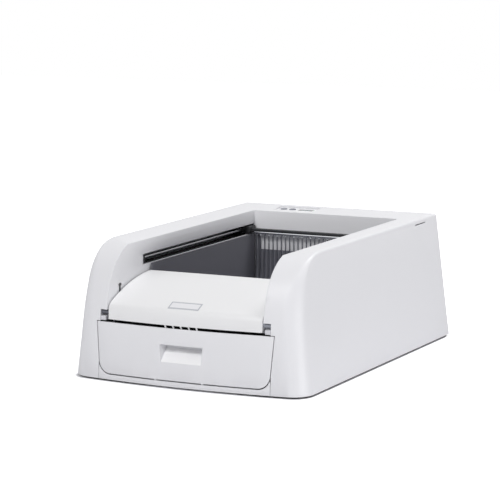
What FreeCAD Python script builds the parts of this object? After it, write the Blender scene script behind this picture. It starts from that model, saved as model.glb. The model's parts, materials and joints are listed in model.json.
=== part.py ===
import FreeCAD, Part
import math
import os
import Sketcher
from FreeCAD import Placement, Rotation, Vector

# Self-cleaning litter box. Origin at the middle of the footprint on the floor,
# +X to the right seen from the front, +Y to the rear, +Z up. Millimetres and degrees.

SIZES = {
    # Housing, outside
    "box_width": 490, "box_length": 690, "box_height": 251, "skirt_gap": 3.5,
    "side_lean": 26, "rear_lean": 8, "bow_depth": 19.2,
    "lean_angle": 4, "lean_height": 120, "brow_angle": 19, "brow_radius": 220, "ridge_angle": 75,
    "corner_radius": 40, "brow_corner": 36, "rim_radius": 5, "rear_corner": 7,
    # Housing, walls and cavity
    "skin": 3, "wing_width": 82, "deck_depth": 78, "rim_drop": 6,
    "moving_gap": 0.3, "shaft_gap": 0.05,
    "slot_width": 51, "slot_height": 2, "slot_drop": 11, "slot_from_rear": 122,
    # Base pan, feet and base screws
    "foot_height": 4, "foot_radius": 12, "foot_inset": 40, "pan_floor": 3, "pan_rim": 14, "pan_gap": 1,
    "boss_radius": 5.5, "boss_height": 25, "boss_setback": 95, "boss_rear_gap": 12,
    "base_screw_radius": 1.75, "screw_head_radius": 3.5,
    "screw_head_height": 1.8, "base_screw_length": 14,
    # Drawer
    "fascia_lap": 21, "fascia_taper": 8, "fascia_bottom": 15, "fascia_top": 110.4, "fascia_corner": 24,
    "side_gap": 1.6, "top_gap": 1.4, "bottom_gap": 2.4, "apron_gap": 0.8, "apron_depth": 12,
    "handle_width": 90, "handle_taper": 3.5, "handle_low": 47, "handle_high": 80,
    "handle_depth": 28, "handle_rise": 24, "finger_room": 9, "cup_wall": 2.5,
    "web_height": 78, "tab_width": 3,
    "bin_side_gap": 7, "bin_length": 145, "bin_height": 88, "bin_lip": 38, "bin_wall": 2, "bin_corner": 8,
    "bin_front_setback": 41, "runner_width": 8, "runner_inset": 34,
    # Litter tub and its cradle
    "tub_side_gap": 2, "tub_wall": 2.5, "tub_base": 55.5, "tub_rim_drop": 53, "tub_back_drop": 33,
    "tub_sill": 3, "tub_corner": 10, "tub_overhang": 9, "tub_rear_gap": 3, "cradle_rib": 3, "bin_to_cradle": 2,
    # Step cover
    "cover_side_gap": 3, "cover_wall": 3, "cover_gap": 5.1, "cover_front_setback": 10,
    "cover_face_height": 16.5, "cover_nose_radius": 18, "cover_slope": 27, "cover_rear": 174,
    "cover_flange": 15, "cover_crown_end": 1, "cover_lean": 4,
    "hinge_setback": 26.5, "hinge_rise": 12.5, "lug_radius": 4.5, "pin_radius": 2,
    "notch_width": 14.6, "notch_headroom": 5, "notch_depth": 34, "ledge_drop": 7, "ledge_thick": 8,
    "bracket_plate": 4, "shelf_setback": 18.2,
    "vent_rib_pitch": 16.3, "vent_rib_width": 2.4, "vent_rib_lean": 22, "vent_rib_drop": 1.6,
    "rest_width": 5, "rest_length": 12, "rest_height": 6,
    "filter_width": 90, "filter_length": 60, "filter_thickness": 8,
    "filter_setback": 122, "filter_drop": 13, "slit_count": 4,
    # Rake and its travel
    "rake_rear_gap": 18, "rake_front_gap": 10, "tine_pitch": 9.6, "tine_radius": 1.3, "tine_gap": 5,
    "comb_drop": 3, "comb_bar_thick": 6, "comb_bar_depth": 5, "beam_thick": 5, "beam_depth": 9,
    "carriage_length": 26, "carriage_height": 14, "carriage_slot": 20, "rail_radius": 3, "rail_inset": 13,
    "rail_lead": 14, "holder_reach": 6, "drive_drop": 43,
    # Belt drive
    "belt_width": 8, "belt_thick": 1.5, "belt_inset": 29, "pulley_radius": 12, "flange_radius": 14.5,
    "flange_thick": 0.8, "idler_from_rail": 16, "idler_axle_radius": 2.5,
    "shaft_radius": 4, "shaft_setback": 22, "bush_radius": 7, "bearing_width": 12, "bearing_reach": 11,
    "gear_module": 1, "gear_teeth": 30, "pinion_teeth": 12, "gear_width": 10, "backlash": 0.2,
    "gear_place": 7, "motor_radius": 16, "gearbox_length": 25, "motor_length": 45, "motor_shaft_radius": 3,
    # Controls
    "panel_width": 90, "panel_length": 44, "panel_thick": 2.5, "panel_sink": 5, "panel_centre": -80,
    "panel_from_rear": 46, "panel_ledge": 4, "button_radius": 7, "button_gap": 0.3, "button_travel": 1.2,
    "button_pitch": 20, "button_offset": -20, "window_offset": 21,
    "board_drop": 11.5, "board_thick": 1.6, "window_width": 34, "window_length": 16,
    # Power inlet, sensors, switches
    "inlet_height": 40, "inlet_radius": 3.15, "inlet_depth": 9, "inlet_body_radius": 6, "inlet_offset": -150,
    "eye_setback": 66, "eye_drop": 78, "eye_radius": 2.6, "eye_board": 18,
    "slit_length": 17, "slit_width": 3.4,
    "switch_width": 7, "switch_length": 16, "switch_height": 12,
}

doc = FreeCAD.newDocument("LitterBox")
sheet = doc.addObject("Spreadsheet::Sheet", "Sheet")
for row, (alias, amount) in enumerate(SIZES.items(), 1):
    sheet.set(f"A{row}", alias)
    sheet.set(f"B{row}", str(amount))
    sheet.setAlias(f"B{row}", alias)
doc.recompute()


class Size(float):
    """A number that remembers the sheet expression it was worked out from."""

    def __new__(cls, amount, text):
        made = float.__new__(cls, amount)
        made.text = text
        return made

    def __add__(self, other):
        return Size(float(self) + float(other), f"({self.text} + {text_of(other)})")

    def __radd__(self, other):
        return Size(float(other) + float(self), f"({text_of(other)} + {self.text})")

    def __sub__(self, other):
        return Size(float(self) - float(other), f"({self.text} - {text_of(other)})")

    def __rsub__(self, other):
        return Size(float(other) - float(self), f"({text_of(other)} - {self.text})")

    def __mul__(self, other):
        return Size(float(self) * float(other), f"({self.text} * {text_of(other)})")

    def __rmul__(self, other):
        return Size(float(other) * float(self), f"({text_of(other)} * {self.text})")

    def __truediv__(self, other):
        return Size(float(self) / float(other), f"({self.text} / {text_of(other)})")

    def __neg__(self):
        return Size(-float(self), f"(-1 * {self.text})")


def text_of(amount):
    """Expression text of a size or of a plain number."""
    return amount.text if isinstance(amount, Size) else f"({float(amount)!r})"


class Named:
    """The sheet's sizes as attributes."""


s = Named()
for alias, amount in SIZES.items():
    setattr(s, alias, Size(amount, f"Sheet.{alias}"))

# Sizes that follow from the driving ones
s.bow_radius = s.box_width * s.box_width / s.bow_depth / 8
s.cavity_width = s.box_width - s.wing_width * 2
s.fascia_width = s.cavity_width + s.fascia_lap * 2
s.bin_width = s.cavity_width - s.bin_side_gap * 2
s.tub_width = s.cavity_width - s.tub_side_gap * 2
s.cover_width = s.cavity_width - s.cover_side_gap * 2
s.slot_rise = s.box_height - s.slot_drop
s.tub_rim = s.box_height - s.tub_rim_drop
s.tub_back_rim = s.tub_rim - s.tub_back_drop
s.drive_height = s.box_height - s.drive_drop
s.comb_bar_high = s.drive_height - s.comb_drop
s.comb_bar_low = s.comb_bar_high - s.comb_bar_thick
s.beam_high = s.comb_bar_high + s.beam_thick
s.panel_top = s.box_height - s.panel_sink
s.eye_height = s.box_height - s.eye_drop
s.cover_bottom = s.fascia_top + s.cover_gap
s.cover_face = s.cover_bottom + s.cover_face_height
s.hinge_height = s.cover_bottom + s.hinge_rise
s.notch_top = s.hinge_height + s.notch_headroom
s.ledge_high = s.hinge_height - s.ledge_drop
s.ledge_low = s.ledge_high - s.ledge_thick

NODES = []


def bind(thing, name, amount):
    """Set a property, and tie it to the sheet where the amount comes from there."""
    setattr(thing, name, float(amount))
    if isinstance(amount, Size):
        thing.setExpression(name, amount.text)


def place(thing, x, y, z, turn=None, name="Placement"):
    """Put a piece at a point, tied to the sheet."""
    setattr(thing, name, Placement(Vector(x, y, z), turn or Rotation()))
    for axis, amount in zip("xyz", (x, y, z)):
        if isinstance(amount, Size):
            thing.setExpression(f"{name}.Base.{axis}", amount.text)
    return thing


def block(name, x, y, z):
    """Box between two corners, each argument a low and a high value."""
    made = doc.addObject("Part::Box", name)
    bind(made, "Length", x[1] - x[0])
    bind(made, "Width", y[1] - y[0])
    bind(made, "Height", z[1] - z[0])
    return place(made, x[0], y[0], z[0])


ALONG = {"x": Rotation(Vector(0, 1, 0), 90), "y": Rotation(Vector(1, 0, 0), -90), "z": Rotation()}


def rod(name, axis, across, span, radius):
    """Cylinder along an axis; across gives its other two coordinates in x, y, z order."""
    made = doc.addObject("Part::Cylinder", name)
    bind(made, "Radius", radius)
    bind(made, "Height", span[1] - span[0])
    where = {"x": (span[0], *across), "y": (across[0], span[0], across[1]), "z": (*across, span[0])}
    return place(made, *where[axis], ALONG[axis])


def fuse(name, *pieces):
    """One piece of all the given ones."""
    made = doc.addObject("Part::MultiFuse", name)
    made.Shapes = list(pieces)
    made.Refine = True
    return made


def cut(name, base, *tools):
    """The base without the tools."""
    made = doc.addObject("Part::Cut", name)
    made.Base = base
    made.Tool = tools[0] if len(tools) == 1 else fuse(name + "_tools", *tools)
    made.Refine = True
    return made


def common(name, *pieces):
    """What the pieces share."""
    made = doc.addObject("Part::MultiCommon", name)
    made.Shapes = list(pieces)
    made.Refine = True
    return made


def group(name, *pieces):
    """Identical pieces kept as separate solids of one node."""
    made = doc.addObject("Part::Compound", name)
    made.Links = list(pieces)
    return made


def fillet(name, base, rounds):
    """Fillet whose edges are picked by a function giving an edge's two radii, or None."""
    doc.recompute()
    made = doc.addObject("Part::Fillet", name)
    made.Base = base
    chains = {}
    for number, edge in enumerate(base.Shape.Edges, 1):
        radii = rounds(edge)
        if radii is None:
            continue
        upward = edge.valueAt(edge.FirstParameter).z <= edge.valueAt(edge.LastParameter).z
        box = edge.BoundBox
        chain = chains.setdefault((edge.CenterOfMass.x > 1, box.YMin > 0), [])
        chain.append((box.ZMin, number, radii, upward))
    picked = []
    for chain in chains.values():
        chain.sort()
        upward = chain[0][3]
        picked += [(number, *(radii if upward else radii[::-1])) for height, number, radii, sense in chain]
    made.Edges = picked
    return made


def node(label, piece):
    """Name a finished sub-part and keep it for export."""
    piece.Label = label
    NODES.append(piece)
    return piece


PLANES = {
    "XY": Rotation(),
    "XZ": Rotation(Vector(1, 0, 0), 90),
    "YZ": Rotation(Vector(0, 1, 0), Vector(0, 0, 1), Vector(1, 0, 0), "ZXY"),
}


def draw(sketch, path):
    """Closed outline: points, and arcs as a pair of a middle point and an end point."""
    here = path[0]
    count = 0
    for step in [*path[1:], here]:
        is_arc = isinstance(step[0], tuple)
        end = step[1] if is_arc else step
        if math.dist(here, end) < 1e-6:
            continue
        if is_arc:
            curve = Part.Arc(Vector(*here, 0), Vector(*step[0], 0), Vector(*end, 0))
        else:
            curve = Part.LineSegment(Vector(*here, 0), Vector(*end, 0))
        sketch.addGeometry(curve, False)
        if not is_arc:
            pin_point(sketch, count, here)
        count += 1
        here = end
    return sketch


def pin_point(sketch, number, point):
    """Hold a line's first end at its two coordinates from the origin."""
    for kind, axis, amount in (("DistanceX", -2, point[0]), ("DistanceY", -1, point[1])):
        if abs(amount) < 1e-6:
            sketch.addConstraint(Sketcher.Constraint("PointOnObject", number, 1, axis))
            continue
        index = sketch.addConstraint(Sketcher.Constraint(kind, -1, 1, number, 1, float(amount)))
        if isinstance(amount, Size):
            sketch.setExpression(f"Constraints[{index}]", amount.text)


def outline(name, plane, offset, path):
    """Sketch on a main plane, moved along that plane's axis."""
    made = doc.addObject("Sketcher::SketchObject", name)
    where = {"XY": (0, 0, offset), "XZ": (0, offset, 0), "YZ": (offset, 0, 0)}[plane]
    place(made, *where, PLANES[plane])
    return draw(made, path)


def prism(name, plane, span, path):
    """Outline drawn on a main plane and pulled along that plane's axis."""
    made = doc.addObject("Part::Extrusion", name)
    made.Base = outline(name + "_outline", plane, span[0], path)
    made.DirMode = "Custom"
    made.Dir = {"XY": Vector(0, 0, 1), "XZ": Vector(0, 1, 0), "YZ": Vector(1, 0, 0)}[plane]
    bind(made, "LengthFwd", span[1] - span[0])
    made.Solid = True
    return made


def taper(name, low, high):
    """Block with sloping sides between two rectangles, each x, y ranges and a height."""
    made = doc.addObject("Part::Wedge", name)
    (low_x, low_y, low_z), (high_x, high_y, high_z) = low, high
    bind(made, "Xmin", low_x[0])
    bind(made, "Xmax", low_x[1])
    bind(made, "X2min", high_x[0])
    bind(made, "X2max", high_x[1])
    bind(made, "Zmin", -low_y[1])
    bind(made, "Zmax", -low_y[0])
    bind(made, "Z2min", -high_y[1])
    bind(made, "Z2max", -high_y[0])
    bind(made, "Ymin", low_z)
    bind(made, "Ymax", high_z)
    return place(made, 0, 0, 0, Rotation(Vector(1, 0, 0), 90))


class Bench:
    """A PartDesign body that is built up feature by feature."""

    def __init__(self, name):
        self.body = doc.addObject("PartDesign::Body", name)
        self.name = name

    def origin(self, role):
        return [part for part in self.body.Origin.OriginFeatures if part.Role == role][0]

    def sketch(self, name, plane, height=0):
        made = self.body.newObject("Sketcher::SketchObject", f"{self.name}_{name}")
        made.AttachmentSupport = (self.origin(plane + "_Plane"), "")
        made.MapMode = "FlatFace"
        return place(made, 0, 0, height, None, "AttachmentOffset")

    def feature(self, kind, name, sketch, length=None):
        made = self.body.newObject("PartDesign::" + kind, f"{self.name}_{name}")
        made.Profile = sketch
        sketch.Visibility = False
        if length is not None:
            bind(made, "Length", length)
        return made

    def pad(self, name, path, length, height=0):
        return self.feature("Pad", name, draw(self.sketch(name + "_sketch", "XY", height), path), length)

    def pad_round(self, name, radius, length, height=0):
        made = self.sketch(name + "_sketch", "XY", height)
        circle(made, radius)
        return self.feature("Pad", name, made, length)

    def pocket_down(self, name, path, length, height):
        return self.feature("Pocket", name, draw(self.sketch(name + "_sketch", "XY", height), path), length)

    def spin(self, name, path):
        sketch = draw(self.sketch(name + "_sketch", "XZ"), path)
        made = self.feature("Revolution", name, sketch)
        made.ReferenceAxis = (sketch, ["V_Axis"])
        made.Angle = 360
        return made

    def soften(self, name, base, radius, chosen):
        doc.recompute()
        made = self.body.newObject("PartDesign::Fillet", f"{self.name}_{name}")
        names = [f"Edge{i}" for i, edge in enumerate(base.Shape.Edges, 1) if chosen(edge)]
        made.Base = (base, names)
        bind(made, "Radius", radius)
        return made


def circle(sketch, radius):
    """Circle about the sketch's origin."""
    index = sketch.addGeometry(Part.Circle(Vector(0, 0, 0), Vector(0, 0, 1), float(radius)), False)
    sketch.addConstraint(Sketcher.Constraint("Coincident", index, 3, -1, 1))
    rule = sketch.addConstraint(Sketcher.Constraint("Radius", index, float(radius)))
    if isinstance(radius, Size):
        sketch.setExpression(f"Constraints[{rule}]", radius.text)


def rectangle(x, y):
    """Corners of a rectangle."""
    return [(x[0], y[0]), (x[1], y[0]), (x[1], y[1]), (x[0], y[1])]


def upright(edge):
    """Whether an edge is a straight vertical line."""
    box = edge.BoundBox
    return box.ZLength > 1 and box.XLength + box.YLength < 1e-4


# Heights and places shared by several sub-parts
half_width = s.box_width / 2
half_length = s.box_length / 2
front = -half_length
cavity = s.cavity_width / 2
wall_face = cavity + s.skin
cavity_rear = half_length - s.deck_depth
rear_face = cavity_rear + s.skin
inner_rim = s.box_height - s.rim_drop
roof = inner_rim - s.skin
pan_top = s.foot_height + s.pan_floor
FAR = 200


def front_profile(inset, top):
    """Side view of the front: a straight lean, a long arc and a brow arc up to the flat top."""
    lean = math.radians(s.lean_angle)
    brow = math.radians(s.brow_angle)
    foot = (front + inset / math.cos(lean), s.skirt_gap)
    knee_height = float(s.lean_height)
    knee = (float(foot[0]) + (knee_height - float(s.skirt_gap)) * math.tan(lean), knee_height)
    middle = on_arc(knee, s.brow_radius - inset, lean, (lean + brow) / 2)
    shoulder = on_arc(knee, s.brow_radius - inset, lean, brow)
    crown_radius = (top - shoulder[1]) / (1 - math.sin(brow))
    ridge = math.radians(s.ridge_angle)
    bend = on_arc(shoulder, crown_radius, brow, (brow + ridge) / 2)
    turn = on_arc(shoulder, crown_radius, brow, ridge)
    crown_middle = on_arc(shoulder, crown_radius, brow, (ridge + math.pi / 2) / 2)
    crown = on_arc(shoulder, crown_radius, brow, math.pi / 2)
    return foot, knee, (middle, shoulder), (bend, turn), (crown_middle, crown)


def on_arc(start, radius, start_angle, angle):
    """Point of an arc that leans back from start_angle to angle, both from upright."""
    across = float(radius) * (math.cos(start_angle) - math.cos(angle))
    up = float(radius) * (math.sin(angle) - math.sin(start_angle))
    return (start[0] + across, start[1] + up)


def skin_back(x, height):
    """Depth of the front skin's inner face at a place between the knee and the shoulder."""
    lean = math.radians(s.lean_angle)
    angle = math.asin(math.sin(lean) + float(height - s.lean_height) / float(s.brow_radius))
    depth = float(s.brow_radius) * (math.cos(lean) - math.cos(angle))
    depth += float(s.lean_height - s.skirt_gap) * math.tan(lean) + float(x) ** 2 / float(s.bow_radius) / 2
    return front + depth + s.skin / math.cos(angle)


def bowed(name, path):
    """Side outline turned about the far upright axis that bows the front."""
    made = doc.addObject("Part::Revolution", name)
    made.Source = outline(name + "_outline", "YZ", 0, path)
    made.Base = Vector(0, front + s.bow_radius, 0)
    made.Axis = Vector(0, 0, 1)
    made.Angle = 36
    made.Symmetric = True
    made.Solid = True
    return made


def housing_form(name, inset, top):
    """Solid with the housing's outer shape, drawn in by inset and flat at top."""
    profile = front_profile(inset, top)
    shoulder_height = profile[2][1][1]
    behind = half_length + FAR / 2
    raw = bowed(name + "_bowed", [*profile, (behind, top), (behind, s.skirt_gap)])
    low_x = half_width - inset
    high_x = half_width - s.side_lean - inset
    low_y = half_length - inset
    high_y = half_length - s.rear_lean - inset
    sides = taper(name + "_sides", ((-low_x, low_x), (front - FAR, low_y), s.skirt_gap),
                  ((-high_x, high_x), (front - FAR, high_y), s.box_height))
    both = common(name + "_raw", raw, sides)
    knee_radius = s.corner_radius - inset
    brow_radius = s.brow_corner - inset
    rim_radius = s.rim_radius

    def rounds(edge):
        box = edge.BoundBox
        middle_x = abs(edge.CenterOfMass.x)
        at_top = box.ZMin > top - 0.5
        if middle_x < high_x - 2:
            return (rim_radius, rim_radius) if at_top and box.YMin > cavity_rear else None
        if box.ZLength > top / 2 and box.YMin > cavity_rear:
            return (s.rear_corner, s.rear_corner)
        if at_top:
            return (rim_radius, rim_radius)
        if box.YMin > cavity_rear or box.YLength > half_length:
            return None
        if box.ZMin < s.skirt_gap + 1:
            return (knee_radius, knee_radius)
        if box.ZMin < s.lean_height + 1:
            return (knee_radius, brow_radius)
        return (brow_radius, rim_radius) if box.ZMin < shoulder_height + 1 else (rim_radius, rim_radius)

    return fillet(name, both, rounds)


outer_form = housing_form("outer_form", 0, s.box_height)
inner_form = housing_form("inner_form", s.skin, roof)

# Drawer bay outline in the housing's front
bay_half = s.fascia_width / 2 + s.side_gap
side_slope = s.fascia_taper / (SIZES["fascia_top"] - SIZES["fascia_bottom"])
seam_half = s.fascia_width / 2 - s.fascia_taper + side_slope * s.fascia_corner + s.side_gap
bay_top = s.fascia_top + s.top_gap
bay_depth = front + s.notch_depth
seam_top = s.fascia_bottom + s.fascia_corner
bay = prism("drawer_bay", "XZ", (front - FAR, bay_depth), [
    (-seam_half, -FAR / 4), (seam_half, -FAR / 4), (seam_half, seam_top), (bay_half, bay_top),
    (-bay_half, bay_top), (-seam_half, seam_top)])

# Carriage line: rails, belts, pulleys and shaft share it
s.rake_home = cavity_rear - s.rake_rear_gap
rail_x = cavity + s.rail_inset
belt_x = cavity + s.belt_inset
shaft_y = cavity_rear + s.shaft_setback
belt_inner = s.pulley_radius + s.moving_gap
belt_outer = belt_inner + s.belt_thick
rake_front = front + s.cover_rear + s.rake_front_gap
rail_front = rake_front - s.carriage_length / 2 - s.rail_lead
idler_y = rail_front - s.idler_from_rail
track_low = s.drive_height - s.carriage_slot / 2
track_high = s.drive_height + s.carriage_slot / 2

# Screw bosses along both inner walls
boss_x = wall_face + s.boss_radius - 1
boss_first = front + s.boss_setback
boss_step = (cavity_rear - s.boss_rear_gap - boss_first) / 3
boss_places = [(side * boss_x, boss_first + boss_step * i) for side in (-1, 1) for i in range(4)]
boss_low = pan_top + s.moving_gap

hinge_y = front + s.hinge_setback
lug_end = wall_face + s.notch_width - 3
eye_y = front + s.eye_setback
panel_y = half_length - s.panel_from_rear
panel_x = (s.panel_centre - s.panel_width / 2, s.panel_centre + s.panel_width / 2)
panel_span = (panel_y - s.panel_length / 2, panel_y + s.panel_length / 2)
apron_back = front + s.apron_depth


def make_housing():
    """Outer skin, sloping rim and inner walls, moulded as one."""
    core = block("housing_core", (-wall_face, wall_face), (front - FAR, rear_face), (-FAR / 4, s.box_height))
    hollow = cut("housing_hollow", inner_form, core)
    well = block("housing_well", (-cavity, cavity), (front - FAR, cavity_rear), (-FAR / 4, s.box_height + 50))
    rim_x = half_width - s.side_lean - s.rim_radius
    rim_y = half_length - s.rear_lean - s.rim_radius
    funnel = taper("housing_funnel", ((-cavity, cavity), (front - FAR, cavity_rear), inner_rim),
                   ((cavity * 2 - rim_x * 3, rim_x * 3 - cavity * 2),
                    (front - FAR, rim_y * 3 - cavity_rear * 2), inner_rim + s.rim_drop * 3))
    foot_room = block("housing_foot_room", (-boss_x, boss_x), (front - FAR, rear_face + 1), (-1, boss_low))
    notches = []
    tracks = []
    slots = []
    eyes = []
    for side, (low, high) in {"left": (-1, 0), "right": (0, 1)}.items():
        reach = lambda a, b: (-b, -a) if low else (a, b)
        notches.append(block(f"notch_{side}", reach(cavity - 1, wall_face + s.notch_width - 3),
                             (front - FAR, front + s.notch_depth), (bay_top - 1, s.notch_top)))
        tracks.append(block(f"track_{side}", reach(cavity - 1, wall_face + 1),
                            (rail_front - 4, cavity_rear - 1), (track_low, track_high)))
        slots.append(block(f"slot_{side}", reach(half_width - s.side_lean - s.skin - 4, half_width),
                           (half_length - s.slot_from_rear, half_length - s.slot_from_rear + s.slot_width),
                           (s.slot_rise, s.slot_rise + s.slot_height)))
        eyes.append(rod(f"eye_hole_{side}", "x", (eye_y, s.eye_height), reach(cavity - 1, wall_face + 1),
                        s.eye_radius))
        eyes.append(block(f"eye_slit_{side}", reach(cavity - 1, wall_face + 1),
                          (eye_y - s.eye_radius, eye_y - s.eye_radius + s.slit_width),
                          (s.eye_height - s.slit_length, s.eye_height)))
    pocket = block("panel_pocket", (panel_x[0] - s.moving_gap, panel_x[1] + s.moving_gap),
                   (panel_span[0] - s.moving_gap, panel_span[1] + s.moving_gap),
                   (s.panel_top - s.panel_thick, s.box_height + 10))
    hatch = block("panel_hatch", (panel_x[0] + s.panel_ledge, panel_x[1] - s.panel_ledge),
                  (panel_span[0] + s.panel_ledge, panel_span[1] - s.panel_ledge),
                  (roof - 10, s.box_height + 10))
    rest_rear = front + s.cover_rear - 3
    rest_top = cover_height(s.cover_flange, cavity, rest_rear - s.rest_length) - s.moving_gap
    rests = []
    for side in (-1, 1):
        edge_x = (cavity - s.rest_width, cavity + 1) if side > 0 else (-cavity - 1, s.rest_width - cavity)
        rests.append(block(f"cover_rest_{side + 1}", edge_x, (rest_rear - s.rest_length, rest_rear),
                           (rest_top - s.rest_height, rest_top)))
    shell = cut("housing_shell", outer_form, hollow, well, funnel, foot_room, bay, *notches, *tracks,
                *slots, *eyes, pocket, hatch)
    bosses = [rod(f"boss_{i}", "z", at, (boss_low, boss_low + s.boss_height), s.boss_radius)
              for i, at in enumerate(boss_places)]
    inlet_pad = rod("inlet_pad", "y", (s.inlet_offset, s.inlet_height),
                    (half_length - 9, half_length - 3.5), s.inlet_body_radius + 5)
    pilots = [rod(f"boss_pilot_{i}", "z", at, (boss_low - 1, boss_low + s.boss_height - 4),
                  s.base_screw_radius + s.shaft_gap) for i, at in enumerate(boss_places)]
    inlet_hole = rod("inlet_hole", "y", (s.inlet_offset, s.inlet_height), (half_length - 12, half_length + 5),
                     s.inlet_body_radius + s.shaft_gap)
    solid = fuse("housing_solid", shell, *bosses, *rests, inlet_pad)
    return node("housing", cut("housing_body", solid, *pilots, inlet_hole))


def fascia_outline(name, span, grow_side, grow_low, grow_top, radius):
    """Drawer front outline pulled along Y, with its lower corners rounded."""
    top_half = s.fascia_width / 2 + grow_side
    low_half = s.fascia_width / 2 - s.fascia_taper + grow_side
    low = s.fascia_bottom - grow_low
    high = s.fascia_top + grow_top
    raw = prism(name + "_raw", "XZ", span, [
        (-low_half, low), (low_half, low), (top_half, high), (-top_half, high)])

    def rounds(edge):
        box = edge.BoundBox
        along_y = box.YLength > 10 and box.XLength + box.ZLength < 1e-4
        return (radius, radius) if along_y and box.ZMax < low + 1 else None

    return fillet(name, raw, rounds)


def make_apron():
    """Strip under the drawer front, between the two wings."""
    strip = block("apron_strip", (s.apron_gap - seam_half, seam_half - s.apron_gap),
                  (front - FAR, apron_back), (s.skirt_gap, seam_top))
    clearance = fascia_outline("apron_clearance", (front - FAR, apron_back + s.apron_depth), s.side_gap,
                               s.bottom_gap, s.fascia_corner, s.fascia_corner + s.side_gap)
    return node("front_apron", cut("apron", common("apron_front", outer_form, strip), clearance))


def make_pan():
    """Floor plate with a low rim, screw recesses and a clear drawer path."""
    edge = housing_form("pan_form", s.skin + s.pan_gap, roof)
    inner = housing_form("pan_inner_form", s.skin + s.pan_gap + 2.5, roof)
    slab = block("pan_slab", (-half_width, half_width), (apron_back, half_length),
                 (s.foot_height, pan_top + s.pan_rim))
    hollow = cut("pan_hollow", inner, block("pan_floor_keep", (-half_width, half_width),
                                             (front - 10, half_length), (0, pan_top)))
    path = block("pan_drawer_path", (-wall_face - 12, wall_face + 12), (front - 10, front + 60),
                 (pan_top, pan_top + s.pan_rim + 5))
    holes = []
    for i, (x, y) in enumerate(boss_places):
        holes.append(rod(f"pan_hole_{i}", "z", (x, y), (0, pan_top + 1), s.base_screw_radius + 0.3))
        holes.append(rod(f"pan_recess_{i}", "z", (x, y), (0, s.foot_height + s.screw_head_height + 0.2),
                         s.screw_head_radius + 0.3))
    return node("base_pan", cut("pan", common("pan_raw", edge, slab), hollow, path, *holes))


def make_feet():
    """Six round rubber pads."""
    x = half_width - s.foot_inset
    rows = (front + s.foot_inset * 1.5, 0, half_length - s.foot_inset)
    pads = [rod(f"foot_{i}", "z", at, (0, s.foot_height), s.foot_radius)
            for i, at in enumerate((side * x, y) for side in (-1, 1) for y in rows)]
    return node("rubber_feet", group("feet", *pads))


def make_base_screws():
    """Screws from the pan into the housing's bosses."""
    screws = []
    seat = s.foot_height + s.screw_head_height + 0.2
    for i, at in enumerate(boss_places):
        head = rod(f"base_screw_head_{i}", "z", at, (seat - s.screw_head_height, seat), s.screw_head_radius)
        shank = rod(f"base_screw_shank_{i}", "z", at, (seat, seat + s.base_screw_length),
                    s.base_screw_radius)
        screws.append(fuse(f"base_screw_{i}", head, shank))
    return node("base_screws", group("screws_under", *screws))


# Drawer, tub and cradle share these faces
bin_front = front + s.bin_front_setback
bin_rear = bin_front + s.bin_length
bin_low = pan_top + 7
cradle_front = bin_rear + s.bin_to_cradle
tub_front = cradle_front - s.tub_overhang
tub_rear = cavity_rear - s.tub_rear_gap
tub_half = s.tub_width / 2


def make_cradle():
    """Raised deck that carries the tub, ribbed from below."""
    cradle_half = tub_half - 2
    body = block("cradle_block", (-cradle_half, cradle_half), (cradle_front, tub_rear), (pan_top, s.tub_base))
    columns = 5
    rows = 5
    cell_x = (cradle_half * 2 - s.cradle_rib) / columns
    cell_y = (tub_rear - cradle_front - s.cradle_rib) / rows
    cells = []
    for i in range(columns):
        for j in range(rows):
            low_x = -cradle_half + s.cradle_rib + cell_x * i
            low_y = cradle_front + s.cradle_rib + cell_y * j
            cells.append(block(f"cradle_cell_{i}_{j}", (low_x, low_x + cell_x - s.cradle_rib),
                               (low_y, low_y + cell_y - s.cradle_rib), (0, s.tub_base - s.cradle_rib)))
    return node("tub_cradle", cut("cradle", body, *cells))


def make_tub():
    """Charcoal litter tub: high sides, a lower back and a low sill at the front."""
    bench = Bench("tub")
    outer = bench.pad("outer", rectangle((-tub_half, tub_half), (tub_front, tub_rear)),
                      s.tub_rim - s.tub_base, s.tub_base)
    at_rear = lambda edge: upright(edge) and edge.BoundBox.YMax > tub_rear - 1
    outer = bench.soften("outer_round", outer, s.tub_corner, at_rear)
    inside = tub_half - s.tub_wall
    bench.pocket_down("well", rectangle((-inside, inside), (tub_front + s.tub_wall, tub_rear - s.tub_wall)),
                      s.tub_rim - s.tub_base - s.tub_wall, s.tub_rim)
    bench.pocket_down("mouth", rectangle((-inside, inside), (tub_front - 10, tub_front + s.tub_wall + 1)),
                      s.tub_rim - s.tub_base - s.tub_wall - s.tub_sill, s.tub_rim)
    back = inside - 12
    bench.pocket_down("low_back", rectangle((-back, back), (tub_rear - s.tub_wall - 5, tub_rear + 10)),
                      s.tub_rim - s.tub_back_rim, s.tub_rim)
    return node("litter_tub", bench.body)


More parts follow.
